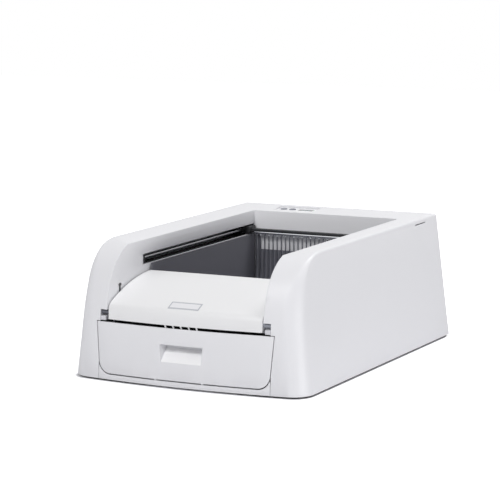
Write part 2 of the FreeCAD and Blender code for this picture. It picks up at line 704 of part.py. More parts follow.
def make_drawer_front():
    """Bowed drawer front with a recessed grip, its cup, stiffening webs and low tabs."""
    plate = fascia_outline("fascia_outline", (front - FAR, bin_front), 0, 0, 0, s.fascia_corner)
    panel = cut("fascia_panel", common("fascia_raw", outer_form, plate), inner_form)
    half = s.handle_width / 2
    wall = s.cup_wall
    web_x = s.fascia_width / 4
    webs = []
    for side in (-1, 1):
        webs.append(block(f"fascia_web_{'left' if side < 0 else 'right'}",
                          (side * web_x - wall / 2, side * web_x + wall / 2), (front - FAR, bin_front),
                          (s.fascia_bottom + s.cup_wall * 2, s.fascia_bottom + s.web_height)))
    grip_front = front + s.skin
    grip_back = front + s.handle_depth
    floor_back = s.handle_low + s.handle_rise
    lip_back = grip_front + s.skin * 3
    cup_top = s.handle_high + s.finger_room
    cup = prism("cup_outside", "YZ", (-half - wall, half + wall), [
        (grip_front, s.handle_low - wall * 2), (grip_back + wall, floor_back - wall * 2),
        (grip_back + wall, cup_top + wall), (grip_front, cup_top + wall)])
    rear_web = block("cup_web", (-wall / 2, wall / 2), (grip_back, bin_front), (floor_back - wall, cup_top))
    tabs = [block(f"fascia_tab_{i}", (x - s.tab_width / 2, x + s.tab_width / 2), (front - FAR, apron_back),
                  (s.fascia_bottom - s.bottom_gap + s.moving_gap, s.fascia_bottom + 1))
            for i, x in enumerate((-half - 8, half))]
    behind = common("fascia_behind", outer_form, fuse("fascia_backing", cup, rear_web, *webs, *tabs))
    slope = prism("cup_side", "YZ", (-half - 1, half + 1), [
        (front - wall * 2, s.handle_low - wall), (grip_front, s.handle_low), (grip_back, floor_back),
        (grip_back, cup_top), (lip_back, cup_top), (lip_back, s.handle_high),
        (front - wall * 2, s.handle_high)])
    face = prism("cup_face", "XZ", (front - wall * 2, grip_back), [
        (-half + s.handle_taper, s.handle_low), (half - s.handle_taper, s.handle_low),
        (half, s.handle_high), (half, cup_top), (-half, cup_top), (-half, s.handle_high)])
    solid = fuse("fascia_solid", panel, behind)
    return node("drawer_front", cut("fascia", solid, common("cup_inside", slope, face)))


def make_bin():
    """Waste bin behind the drawer front, low at the rear where the rake drops clumps in."""
    bench = Bench("bin")
    half = s.bin_width / 2
    outer = bench.pad("outer", rectangle((-half, half), (bin_front, bin_rear)), s.bin_height, bin_low)
    outer = bench.soften("outer_round", outer, s.bin_corner, upright)
    inside = half - s.bin_wall
    bench.pocket_down("well", rectangle((-inside, inside), (bin_front + s.bin_wall, bin_rear - s.bin_wall)),
                      s.bin_height - s.bin_wall, bin_low + s.bin_height)
    bench.pocket_down("low_back", rectangle((-half - 5, half + 5), (tub_front - 1.5, bin_rear + 5)),
                      s.bin_height - s.bin_lip, bin_low + s.bin_height)
    return node("waste_bin", bench.body)


def make_runners():
    """Two strips on the pan that the bin slides on."""
    for side, name in ((-1, "left"), (1, "right")):
        x = side * (s.bin_width / 2 - s.runner_inset)
        strip = block(f"runner_{name}", (x - s.runner_width / 2, x + s.runner_width / 2),
                      (front + 20, bin_rear - 2), (pan_top, bin_low - s.moving_gap))
        node(f"drawer_runner_{name}", strip)


def cover_profile(inset):
    """Side view of the cover's skin: upright lip, nose arc and long crown to the rear."""
    face = math.radians(s.cover_lean)
    slope = math.radians(90 - s.cover_slope)
    end = math.radians(90 - s.cover_crown_end)
    lip = (front + s.cover_front_setback + inset, s.cover_bottom)
    knee = (float(lip[0]) + (s.cover_face - s.cover_bottom) * math.tan(face), float(s.cover_face))
    nose = on_arc(knee, s.cover_nose_radius - inset, face, slope)
    nose_middle = on_arc(knee, s.cover_nose_radius - inset, face, (face + slope) / 2)
    outer_nose_y = float(front + s.cover_front_setback) + (s.cover_face - s.cover_bottom) * math.tan(face)
    outer_nose_y += float(s.cover_nose_radius) * (math.cos(face) - math.cos(slope))
    reach = float(front + s.cover_rear) - outer_nose_y
    crown_radius = reach / (math.cos(slope) - math.cos(end)) - inset
    crown_middle = on_arc(nose, crown_radius, slope, (slope + end) / 2)
    crown = on_arc(nose, crown_radius, slope, end)
    return lip, knee, nose_middle, nose, crown_middle, crown


def cover_height(inset, x, y):
    """Height of the cover's crown, drawn in by inset, at a place to its rear."""
    slope = math.radians(90 - s.cover_slope)
    nose = cover_profile(inset)[3]
    crown = cover_profile(inset)[5]
    end = math.radians(90 - s.cover_crown_end)
    radius = (crown[0] - nose[0]) / (math.cos(slope) - math.cos(end))
    along = float(y) - float(x) ** 2 / float(s.bow_radius) / 2
    angle = math.acos(math.cos(slope) - (along - nose[0]) / radius)
    return nose[1] + radius * (math.sin(angle) - math.sin(slope))


def cover_solid(name, inset):
    """Filled bowed solid under the cover's skin, drawn in by inset."""
    lip, knee, nose_middle, nose, crown_middle, crown = cover_profile(inset)
    tail = float(crown[0]) + 40
    low = float(s.cover_bottom)
    start = (lip[0], low) if inset == 0 else (float(lip[0]), low - 5)
    path = [start, knee, (nose_middle, nose), (crown_middle, crown), (tail, crown[1]), (tail, start[1])]
    return bowed(name, path)


def make_cover():
    """Step cover: curved skin, side flanges, vent ribs and filter posts."""
    cover_half = s.cover_width / 2
    span = (front - 20, front + s.cover_rear)
    heights = (s.cover_bottom - 1, s.box_height)
    width = block("cover_width", (-cover_half, cover_half), span, heights)
    outer = common("cover_outer", cover_solid("cover_skin", 0), width)
    skin = cut("cover_plate", outer, cover_solid("cover_under", s.cover_wall))
    deep = cover_solid("cover_deep", s.cover_flange)
    flanges = []
    for side, (x0, x1) in {"left": (-cover_half, -cover_half + s.cover_wall),
                           "right": (cover_half - s.cover_wall, cover_half)}.items():
        strip = common(f"flange_strip_{side}", cover_solid(f"flange_form_{side}", 0),
                       block(f"flange_width_{side}", (x0, x1), span, heights))
        flanges.append(cut(f"flange_{side}", strip, deep))
    ribs = []
    for i in range(-2, 3):
        rib = block(f"vent_rib_{i + 2}", (0, s.vent_rib_width), (0, s.cover_wall / 2),
                    (0, s.cover_gap + s.vent_rib_drop * 2))
        x = s.vent_rib_pitch * i
        place(rib, x - s.vent_rib_width, front + s.cover_front_setback + s.cover_wall / 2,
              s.fascia_top - s.vent_rib_drop, Rotation(Vector(0, 1, 0), -float(s.vent_rib_lean)))
        ribs.append(rib)
    posts = []
    for i, (sx, sy) in enumerate(((-1, -1), (1, -1), (-1, 1), (1, 1))):
        at = (sx * (s.filter_width / 2 - 6), filter_y + sy * (s.filter_length / 2 - 6))
        posts.append(rod(f"filter_post_{i}", "z", at, (filter_top, filter_top + 30), 4))
    held = common("filter_posts", fuse("post_rods", *posts), cover_solid("post_limit", s.cover_wall / 2))
    pin_holes = rod("cover_pin_hole", "x", (hinge_y, s.hinge_height), (-cover_half - 5, cover_half + 5),
                    s.lug_radius - 1 + s.shaft_gap)
    whole = fuse("cover_whole", skin, *flanges, *ribs, held)
    return node("step_cover", cut("cover", whole, pin_holes))


filter_y = front + s.filter_setback
filter_top = cover_height(s.cover_wall, s.filter_width / 2, filter_y - s.filter_length / 2) - s.filter_drop


def make_filter():
    """Carbon filter pad in a shallow tray under the cover."""
    x = s.filter_width / 2
    y = s.filter_length / 2
    wall = 2
    low = filter_top - s.filter_thickness - wall * 2
    tray = block("tray_block", (-x, x), (filter_y - y, filter_y + y), (low, filter_top))
    well = block("tray_well", (-x + wall, x - wall), (filter_y - y + wall, filter_y + y - wall),
                 (low + wall, filter_top - wall))
    pitch = s.filter_width / (s.slit_count + 1)
    slits = [block(f"tray_slit_{i}", (-x + pitch * (i + 1) - pitch / 6, -x + pitch * (i + 1) + pitch / 6),
                   (filter_y - y + 8, filter_y + y - 8), (low - 1, low + wall + 1))
             for i in range(int(s.slit_count))]
    mouth = block("tray_mouth", (-x + 8, x - 8), (filter_y - y + 14, filter_y + y - 14),
                  (filter_top - wall - 1, filter_top + 1))
    node("filter_tray", cut("tray", tray, well, mouth, *slits))
    pad = block("filter_block", (-x + wall + 0.2, x - wall - 0.2),
                (filter_y - y + wall + 0.2, filter_y + y - wall - 0.2), (low + wall, filter_top - wall - 0.2))
    node("carbon_filter", pad)


def make_hinge(side, name):
    """Hinge pin with its lug, and the bracket behind the wing that holds the pin's end."""
    cover_half = s.cover_width / 2
    reach = lambda a, b: (a, b) if side > 0 else (-b, -a)
    at = (hinge_y, s.hinge_height)
    lug = rod(f"lug_{name}", "x", at, reach(cover_half, lug_end - 0.6), s.lug_radius)
    spigot = rod(f"lug_spigot_{name}", "x", at, reach(cover_half - s.cover_wall, cover_half),
                 s.lug_radius - 1)
    head = rod(f"lug_head_{name}", "x", at, reach(cover_half - s.cover_wall - 3, cover_half - s.cover_wall),
               s.lug_radius)
    tip = rod(f"lug_tip_{name}", "x", at, reach(lug_end - 0.6, lug_end + s.bracket_plate), s.pin_radius)
    node(f"hinge_pin_{name}", fuse(f"pin_{name}", lug, spigot, head, tip))
    back = front + s.notch_depth
    shelf = block(f"bracket_shelf_{name}", reach(wall_face, lug_end - 0.6),
                  (front + s.shelf_setback, back + 8), (s.ledge_low, s.ledge_high))
    stem = block(f"bracket_stem_{name}", reach(wall_face, lug_end + s.bracket_plate + s.moving_gap),
                 (back, back + 8), (s.ledge_low, s.notch_top + s.skin))
    plate_end = lug_end + s.bracket_plate + s.moving_gap
    plate_front = skin_back(plate_end, s.notch_top + s.skin) + s.moving_gap
    plate = block(f"bracket_plate_{name}", reach(lug_end + s.moving_gap, plate_end), (plate_front, back + 8),
                  (s.ledge_low + s.skin, s.notch_top + s.skin))
    bore = rod(f"bracket_bore_{name}", "x", at, reach(lug_end, lug_end + s.bracket_plate + 2),
               s.pin_radius + s.shaft_gap)
    solid = fuse(f"bracket_raw_{name}", shelf, stem, plate)
    node(f"cover_bracket_{name}", cut(f"bracket_{name}", solid, bore))


def make_rake():
    """Chrome comb of hairpin tines on a flat bar, under a dark beam, with a carriage at each end."""
    y = s.rake_home
    tip_low = s.tub_base + s.tub_wall + s.tine_gap
    arch = s.tine_pitch / 2
    shoulder = s.comb_bar_low - arch + s.tine_radius / 2
    pairs = int(float(s.cavity_width - 15) / (2 * float(s.tine_pitch)))
    pieces = [block("comb_bar", (-s.tine_pitch * pairs, s.tine_pitch * pairs),
                    (y - s.comb_bar_depth / 2, y + s.comb_bar_depth / 2), (s.comb_bar_low, s.comb_bar_high))]
    for i in range(pairs):
        x = s.tine_pitch * (2 * i - pairs + 1)
        for leg in (-1, 1):
            pieces.append(rod(f"tine_{i}_{leg + 1}", "z", (x + leg * arch, y), (tip_low, shoulder),
                              s.tine_radius))
        bend = doc.addObject("Part::Torus", f"tine_arch_{i}")
        bind(bend, "Radius1", arch)
        bind(bend, "Radius2", s.tine_radius)
        bend.Angle3 = 180
        place(bend, x, y, shoulder, Rotation(Vector(1, 0, 0), 90))
        pieces.append(bend)
    node("rake_comb", fuse("comb", *pieces))

    beam_half = cavity - 5
    beam = block("beam_block", (-beam_half, beam_half), (y - s.beam_depth / 2, y + s.beam_depth / 2),
                 (s.comb_bar_high, s.beam_high))

    def top_edges(edge):
        box = edge.BoundBox
        return (1.5, 1.5) if box.XLength > 50 and box.ZMin > s.beam_high - 1 else None

    node("rake_beam", fillet("beam", beam, top_edges))

    half = s.carriage_length / 2
    low = s.drive_height - s.carriage_height / 2
    high = s.drive_height + s.carriage_height / 2
    run_low = s.drive_height - belt_outer
    run_high = s.drive_height - belt_inner
    for side, name in ((-1, "left"), (1, "right")):
        reach = lambda a, b: (a, b) if side > 0 else (-b, -a)
        slider = block(f"slider_{name}", reach(beam_half, rail_x + 8), (y - half, y + half), (low, high))
        clamp = block(f"clamp_{name}", reach(rail_x + 4, belt_x + s.belt_width / 2 + 3),
                      (y - half + 3, y + half - 3), (run_low - 4, low + 2))
        belt_way = block(f"belt_way_{name}",
                         reach(belt_x - s.belt_width / 2 - s.moving_gap - 0.2, belt_x + s.belt_width * 2),
                         (y - half, y + half), (run_low - s.moving_gap, run_high + s.moving_gap))
        bore = rod(f"slider_bore_{name}", "y", (side * rail_x, s.drive_height), (y - half - 1, y + half + 1),
                   s.rail_radius + s.shaft_gap)
        node(f"rake_carriage_{name}", cut(f"carriage_{name}", fuse(f"carriage_raw_{name}", slider, clamp),
                                          belt_way, bore))


def make_track(side, name):
    """Guide rail with its holders, the belt loop and the idler with its axle, on one side."""
    reach = lambda a, b: (a, b) if side > 0 else (-b, -a)
    rail_rear = cavity_rear + 2
    z = s.drive_height
    rail = rod(f"rail_{name}", "y", (side * rail_x, z), (rail_front, rail_rear), s.rail_radius)
    node(f"guide_rail_{name}", rail)
    holders = []
    for i, span in enumerate(((rail_front, rail_front + 8), (rail_rear - 5, rail_rear))):
        body = block(f"holder_block_{name}_{i}", reach(wall_face, rail_x + s.holder_reach), span,
                     (z - s.holder_reach, z + s.holder_reach))
        bore = rod(f"holder_bore_{name}_{i}", "y", (side * rail_x, z), (span[0] - 1, span[1] + 1),
                   s.rail_radius + s.shaft_gap / 2)
        holders.append(cut(f"holder_{name}_{i}", body, bore))
    node(f"rail_holders_{name}", group(f"holders_{name}", *holders))

    belt_span = reach(belt_x - s.belt_width / 2, belt_x + s.belt_width / 2)

    def stadium(label, radius, grow):
        x = (belt_span[0] - grow, belt_span[1] + grow)
        run = block(label + "_run", x, (idler_y, shaft_y), (z - radius, z + radius))
        ends = [rod(f"{label}_end_{i}", "x", (y, z), x, radius) for i, y in enumerate((idler_y, shaft_y))]
        return fuse(label, run, *ends)

    node(f"drive_belt_{name}", cut(f"belt_{name}", stadium(f"belt_out_{name}", belt_outer, 0),
                                   stadium(f"belt_in_{name}", belt_inner, 1)))
    at = (idler_y, z)
    outside = belt_x + s.belt_width / 2
    pin = rod(f"axle_pin_{name}", "x", at, reach(wall_face, outside + 4), s.idler_axle_radius)
    shoulder = rod(f"axle_shoulder_{name}", "x", at, reach(wall_face, belt_x - s.belt_width / 2 - 2),
                   s.idler_axle_radius * 2)
    head = rod(f"axle_head_{name}", "x", at, reach(outside + 1.8, outside + 4), s.idler_axle_radius + 2)
    node(f"idler_axle_{name}", fuse(f"axle_{name}", pin, shoulder, head))
    make_pulley(f"idler_pulley_{name}", side, idler_y, s.idler_axle_radius + s.shaft_gap)
    make_pulley(f"drive_pulley_{name}", side, shaft_y, s.shaft_radius + s.shaft_gap / 2)


def make_pulley(name, side, y, bore):
    """Flanged pulley turned about X, centred on its belt."""
    bench = Bench(name + "_body")
    half = s.belt_width / 2 + s.moving_gap
    edge = half + s.flange_thick
    bench.spin("rim", [
        (bore, -edge), (s.flange_radius, -edge), (s.flange_radius, -half), (s.pulley_radius, -half),
        (s.pulley_radius, half), (s.flange_radius, half), (s.flange_radius, edge), (bore, edge)])
    place(bench.body, side * belt_x, y, s.drive_height, ALONG["x"])
    node(name, bench.body)


def tooth_path(teeth, module, backlash):
    """One involute gear tooth about +X, and the radius of the teeth's roots."""
    pitch = module * teeth / 2
    base = pitch * math.cos(math.radians(20))
    tip = pitch + 0.8 * module
    root = pitch - 1.2 * module
    flank = max(base, root)
    half_pitch = math.pi / 2 / teeth - backlash / 4 / pitch
    involute = lambda r: math.tan(math.acos(base / max(r, base))) - math.acos(base / max(r, base))
    half_at = lambda r: half_pitch + involute(pitch) - involute(r)
    radii = [root - 0.4 * module, root] + [flank + (tip - flank) * k / 4 for k in range(5)]
    low = [(r * math.cos(half_at(r)), -r * math.sin(half_at(r))) for r in radii]
    high = [(x, -y) for x, y in reversed(low)]
    return low + high, root


def make_gear(name, teeth, bore, width):
    """Spur gear: a disc, one tooth and its polar pattern, with a bore."""
    bench = Bench(name + "_body")
    path, root = tooth_path(int(teeth), float(s.gear_module), float(s.backlash))
    bench.pad_round("disc", root, width)
    tooth = bench.pad("tooth", path, width)
    doc.recompute()
    ring = bench.body.newObject("PartDesign::PolarPattern", name + "_ring")
    ring.Originals = [tooth]
    ring.Axis = (bench.origin("Z_Axis"), [""])
    ring.Angle = 360
    ring.Occurrences = int(teeth)
    bench.body.Tip = ring
    doc.recompute()
    if bore:
        hole = bench.sketch("bore_sketch", "XY", width)
        circle(hole, bore)
        bench.feature("Pocket", "bore", hole, width)
    return bench


def make_drive():
    """Cross shaft, its bearings, the gear pair, the gearmotor and its bracket."""
    z = s.drive_height
    end = belt_x + s.belt_width / 2 + 3
    node("drive_shaft", rod("cross_shaft", "x", (shaft_y, z), (-end, end), s.shaft_radius))
    bearings = []
    bushes = []
    for side, name in ((-1, "left"), (1, "right")):
        reach = lambda a, b: (a, b) if side > 0 else (-b, -a)
        span = reach(cavity - 13, cavity - 13 + s.bearing_width)
        body = block(f"bearing_block_{name}", span, (rear_face, shaft_y + s.bearing_reach),
                     (z - s.bearing_reach, z + s.bearing_reach))
        seat = rod(f"bearing_seat_{name}", "x", (shaft_y, z), (span[0] - 1, span[1] + 1), s.bush_radius)
        bearings.append(cut(f"bearing_{name}", body, seat))
        outer = rod(f"bush_outer_{name}", "x", (shaft_y, z), span, s.bush_radius - s.shaft_gap / 2)
        inner = rod(f"bush_inner_{name}", "x", (shaft_y, z), (span[0] - 1, span[1] + 1),
                    s.shaft_radius + s.shaft_gap)
        bushes.append(cut(f"bush_{name}", outer, inner))
    node("bearing_blocks", group("bearings", *bearings))
    node("shaft_bushes", group("bushes", *bushes))

    gear_x = s.gear_place
    gear = make_gear("drive_gear", s.gear_teeth, s.shaft_radius + s.shaft_gap / 2, s.gear_width)
    turn = Rotation(Vector(0, 1, 0), Vector(0, 0, 1), Vector(1, 0, 0), "ZXY")
    place(gear.body, gear_x, shaft_y, z, turn)
    node("drive_gear", gear.body)

    centres = s.gear_module * (s.gear_teeth + s.pinion_teeth) / 2 + 0.05
    motor_y = shaft_y + centres
    pinion = make_gear("motor_pinion", s.pinion_teeth, None, s.gear_width)
    pinion.pad_round("shaft", s.motor_shaft_radius, s.gear_width + 16, 0)
    half_tooth = Rotation(Vector(1, 0, 0), 180 / float(s.pinion_teeth))
    place(pinion.body, gear_x, motor_y, z, half_tooth.multiply(turn))
    node("motor_pinion", pinion.body)

    plate_x = gear_x + s.gear_width + 3
    plate_end = plate_x + s.skin
    plate = block("motor_plate", (plate_x, plate_end), (rear_face, motor_y + s.motor_radius + 4),
                  (z - s.motor_radius - 5, z + s.motor_radius + 5))
    foot = block("motor_foot", (plate_x, plate_x + 26), (rear_face, rear_face + s.skin),
                 (z - s.motor_radius - 5, z + s.motor_radius + 5))
    way = rod("shaft_way", "x", (shaft_y, z), (plate_x - 1, plate_end + 1), s.shaft_radius + 1)
    boss_way = rod("motor_boss_way", "x", (motor_y, z), (plate_x - 1, plate_end + 1),
                   s.motor_shaft_radius + 3)
    node("motor_bracket", cut("bracket", fuse("bracket_raw", plate, foot), way, boss_way))

    gearbox_end = plate_end + s.gearbox_length
    gearbox = rod("gearbox", "x", (motor_y, z), (plate_end, gearbox_end), s.motor_radius)
    can = rod("motor_can", "x", (motor_y, z), (gearbox_end, gearbox_end + s.motor_length), s.motor_radius - 2)
    boss = rod("gearbox_boss", "x", (motor_y, z), (plate_x + 0.5, plate_end), s.motor_shaft_radius + 2.5)
    bore = rod("gearbox_bore", "x", (motor_y, z), (plate_x, gear_x + s.gear_width + 17),
               s.motor_shaft_radius + s.shaft_gap)
    node("gearmotor", cut("motor", fuse("motor_raw", gearbox, can, boss), bore))


def make_controls():
    """Panel in the rear deck, its two buttons, display window, circuit board and screws."""
    panel_low = s.panel_top - s.panel_thick
    plate = block("panel_plate", panel_x, panel_span, (panel_low, s.panel_top))
    button_middle = s.panel_centre + s.button_offset
    button_xs = (button_middle - s.button_pitch / 2, button_middle + s.button_pitch / 2)
    window_x = s.panel_centre + s.window_offset
    board_top = panel_low - s.board_drop
    board_low = board_top - s.board_thick
    inset = s.panel_ledge + 1
    board_x = (panel_x[0] + inset, panel_x[1] - inset)
    board_y = (panel_span[0] + inset, panel_span[1] - inset)
    corners = [(x, y) for x in (board_x[0] + 4, board_x[1] - 4) for y in (board_y[0] + 4, board_y[1] - 4)]
    posts = [rod(f"panel_post_{i}", "z", at, (board_top, panel_low + 1), 3) for i, at in enumerate(corners)]
    holes = [rod(f"button_hole_{i}", "z", (x, panel_y), (panel_low - 1, s.panel_top + 1),
                 s.button_radius + s.button_gap) for i, x in enumerate(button_xs)]
    frame_x = (window_x - s.window_width / 2, window_x + s.window_width / 2)
    frame_y = (panel_y - s.window_length / 2, panel_y + s.window_length / 2)
    window_hole = block("window_hole", frame_x, frame_y, (panel_low - 1, s.panel_top + 1))
    pilots = [rod(f"post_pilot_{i}", "z", at, (board_top - 1, board_top + 8), 1.25)
              for i, at in enumerate(corners)]
    node("control_panel", cut("panel", fuse("panel_raw", plate, *posts), *holes, window_hole, *pilots))
    window = block("window_block", (frame_x[0] + 0.1, frame_x[1] - 0.1), (frame_y[0] + 0.1, frame_y[1] - 0.1),
                   (panel_low, s.panel_top - 0.3))
    node("display_window", window)

    board = block("board_plate", board_x, board_y, (board_low, board_top))
    switches = [block(f"key_switch_{i}", (x - 3, x + 3), (panel_y - 3, panel_y + 3),
                      (board_top - 0.1, board_top + 3)) for i, x in enumerate(button_xs)]
    display = block("display_module", (frame_x[0] + 1, frame_x[1] - 1), (frame_y[0] + 1, frame_y[1] - 1),
                    (board_top - 0.1, panel_low))
    chip = block("board_chip", (button_middle - 5, button_middle + 5), (board_y[0] + 1, board_y[0] + 9),
                 (board_top - 0.1, board_top + 1.5))
    board_holes = [rod(f"board_hole_{i}", "z", at, (board_low - 1, board_top + 1), 1.4)
                   for i, at in enumerate(corners)]
    node("control_board", cut("board", fuse("board_raw", board, *switches, display, chip), *board_holes))
    screws = []
    for i, at in enumerate(corners):
        head = rod(f"board_screw_head_{i}", "z", at, (board_low - 1.6, board_low), 2.5)
        shank = rod(f"board_screw_shank_{i}", "z", at, (board_low, board_low + 7), 1.2)
        screws.append(fuse(f"board_screw_{i}", head, shank))
    node("board_screws", group("screws_board", *screws))

    flange_top = panel_low - s.moving_gap
    for i, name in enumerate(("clean_button", "mode_button")):
        bench = Bench(name + "_body")
        bench.pad_round("flange", s.button_radius + 2, 1.6)
        stem = flange_top - 1.6 - board_top - 3 - s.button_travel - s.moving_gap
        bench.pad_round("stem", 2, stem, -stem)
        cap = bench.pad_round("cap", s.button_radius, s.panel_top + 1.8 - flange_top + 1.6)
        top_edge = lambda edge: edge.BoundBox.ZMin > s.panel_top + 1.8 - flange_top + 1.5
        bench.soften("cap_round", cap, 0.8, top_edge)
        place(bench.body, button_xs[i], panel_y, flange_top - 1.6)
        node(name, bench.body)


def make_inlet():
    """Round power inlet held in the rear wall."""
    at = (s.inlet_offset, s.inlet_height)
    mouth = half_length - 1.4
    barrel = rod("inlet_barrel", "y", at, (mouth - s.inlet_depth - 8, mouth), s.inlet_body_radius)
    collar = rod("inlet_collar", "y", at, (half_length - 11.5, half_length - 9), s.inlet_body_radius + 2)
    bore = rod("inlet_bore", "y", at, (mouth - s.inlet_depth, mouth + 1), s.inlet_radius)
    node("power_inlet", cut("inlet", fuse("inlet_raw", barrel, collar), bore))


def make_sensors():
    """Presence sensor eyes behind both inner walls, each with its small board."""
    lenses = []
    boards = []
    for side, name in ((-1, "left"), (1, "right")):
        reach = lambda a, b: (a, b) if side > 0 else (-b, -a)
        at = (eye_y, s.eye_height)
        lens = rod(f"eye_lens_{name}", "x", at, reach(cavity + 1, wall_face + 4), s.eye_radius - 0.1)
        collar = rod(f"eye_collar_{name}", "x", at, reach(wall_face, wall_face + 2), s.eye_radius * 2)
        lenses.append(fuse(f"eye_{name}", lens, collar))
        boards.append(block(f"eye_board_{name}", reach(wall_face + 4, wall_face + 4 + s.board_thick),
                            (eye_y - s.eye_board / 2, eye_y + s.eye_board / 2),
                            (s.eye_height - s.eye_board / 2, s.eye_height + s.eye_board / 2)))
    node("sensor_eyes", group("eyes", *lenses))
    node("sensor_boards", group("eye_boards", *boards))


def make_switches():
    """Travel switches that the right carriage passes at home and at its front stop."""
    pieces = []
    top = s.drive_height - s.carriage_height / 2 - s.moving_gap
    for i, y in enumerate((rake_front, s.rake_home)):
        body = block(f"switch_block_{i}", (wall_face, wall_face + s.switch_width),
                     (y - s.switch_length / 2, y + s.switch_length / 2), (top - 2 - s.switch_height, top - 2))
        key = rod(f"switch_key_{i}", "z", (wall_face + s.switch_width / 2, y), (top - 2.1, top), 1.2)
        pieces.append(fuse(f"switch_{i}", body, key))
    node("travel_switches", group("switches", *pieces))


make_housing()
make_apron()
make_pan()
make_feet()
make_base_screws()
make_cradle()
make_tub()
make_drawer_front()
make_bin()
make_runners()
make_cover()
make_filter()
for side, name in ((-1, "left"), (1, "right")):
    make_hinge(side, name)
make_rake()
for side, name in ((-1, "left"), (1, "right")):
    make_track(side, name)
make_drive()
make_controls()
make_inlet()
make_sensors()
make_switches()
doc.recompute()

for thing in doc.Objects:
    if "Invalid" in thing.State or "Error" in thing.State:
        raise RuntimeError(f"{thing.Label} failed: {thing.State}")
for piece in NODES:
    if piece.Shape.isNull() or not piece.Shape.isValid() or not piece.Shape.Solids:
        raise RuntimeError(f"{piece.Label} has no valid solid")

os.makedirs("parts", exist_ok=True)
for piece in NODES:
    piece.Shape.exportStep(f"parts/{piece.Label}.step")
    box = piece.Shape.BoundBox
    print(f"{piece.Label}: {len(piece.Shape.Solids)} solid(s), {piece.Shape.Volume / 1000:.1f} cm3,",
          f"x {box.XMin:.1f}..{box.XMax:.1f}, y {box.YMin:.1f}..{box.YMax:.1f},",
          f"z {box.ZMin:.1f}..{box.ZMax:.1f}")
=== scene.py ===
"""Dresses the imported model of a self-cleaning litter box and sets it in a small studio."""

from __future__ import annotations

import json
import logging
import math
from dataclasses import dataclass, field
from enum import Enum
from typing import Any, Callable, Iterable

import bmesh
import bpy
from mathutils import Matrix, Vector


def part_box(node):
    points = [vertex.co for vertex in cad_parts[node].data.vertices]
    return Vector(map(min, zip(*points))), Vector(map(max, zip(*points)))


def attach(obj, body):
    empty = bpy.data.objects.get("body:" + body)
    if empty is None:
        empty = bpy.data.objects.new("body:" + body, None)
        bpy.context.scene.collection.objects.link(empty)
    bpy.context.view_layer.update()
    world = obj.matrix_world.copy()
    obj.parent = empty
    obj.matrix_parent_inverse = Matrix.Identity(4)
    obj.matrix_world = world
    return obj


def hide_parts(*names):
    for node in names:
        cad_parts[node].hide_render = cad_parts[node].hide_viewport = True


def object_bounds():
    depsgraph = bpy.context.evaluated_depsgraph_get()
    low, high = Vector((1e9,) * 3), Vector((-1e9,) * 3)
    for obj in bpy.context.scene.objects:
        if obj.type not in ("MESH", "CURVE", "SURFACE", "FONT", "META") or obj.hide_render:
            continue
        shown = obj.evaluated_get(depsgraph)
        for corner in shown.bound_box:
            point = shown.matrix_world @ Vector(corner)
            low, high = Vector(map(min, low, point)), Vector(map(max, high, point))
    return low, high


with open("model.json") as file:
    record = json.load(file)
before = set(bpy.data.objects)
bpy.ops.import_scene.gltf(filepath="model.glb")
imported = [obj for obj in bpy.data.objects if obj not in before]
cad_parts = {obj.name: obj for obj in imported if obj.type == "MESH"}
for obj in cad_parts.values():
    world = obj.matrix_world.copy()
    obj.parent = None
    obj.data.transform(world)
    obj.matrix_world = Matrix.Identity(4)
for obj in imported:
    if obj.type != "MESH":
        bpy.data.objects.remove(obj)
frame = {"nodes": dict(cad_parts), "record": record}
CAD_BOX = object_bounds()
MM = 0.001
log = logging.getLogger("litter_box")


def linear(code: str) -> tuple[float, float, float, float]:
    """Turn a colour code to linear light.

    Args:
        code: Six hex digits of an sRGB colour.

    Returns:
        Red, green, blue and an alpha of 1.
    """
    parts = [int(code[i:i + 2], 16) / 255 for i in (0, 2, 4)]
    light = [c / 12.92 if c <= 0.04045 else ((c + 0.055) / 1.055) ** 2.4 for c in parts]
    return (light[0], light[1], light[2], 1.0)


def add_node(tree: bpy.types.NodeTree, kind: str, links: dict[Any, Any] | None = None, **settings: Any) -> Any:
    """Add one shader node, set it and join its inputs.

    Args:
        tree: The node tree it goes into.
        kind: Type name of the node.
        links: Input name or number to a value, or to the output socket that feeds it.
        settings: Attributes of the node itself.

    Returns:
        The new node.
    """
    made = tree.nodes.new(kind)
    for name, value in settings.items():
        setattr(made, name, value)
    for key, value in (links or {}).items():
        if isinstance(value, bpy.types.NodeSocket):
            tree.links.new(value, made.inputs[key])
        else:
            made.inputs[key].default_value = value
    return made


class Cell(Enum):
    """Texture that gives a finish its grain."""

    SPARK = "ShaderNodeTexNoise"
    PEBBLE = "ShaderNodeTexVoronoi"


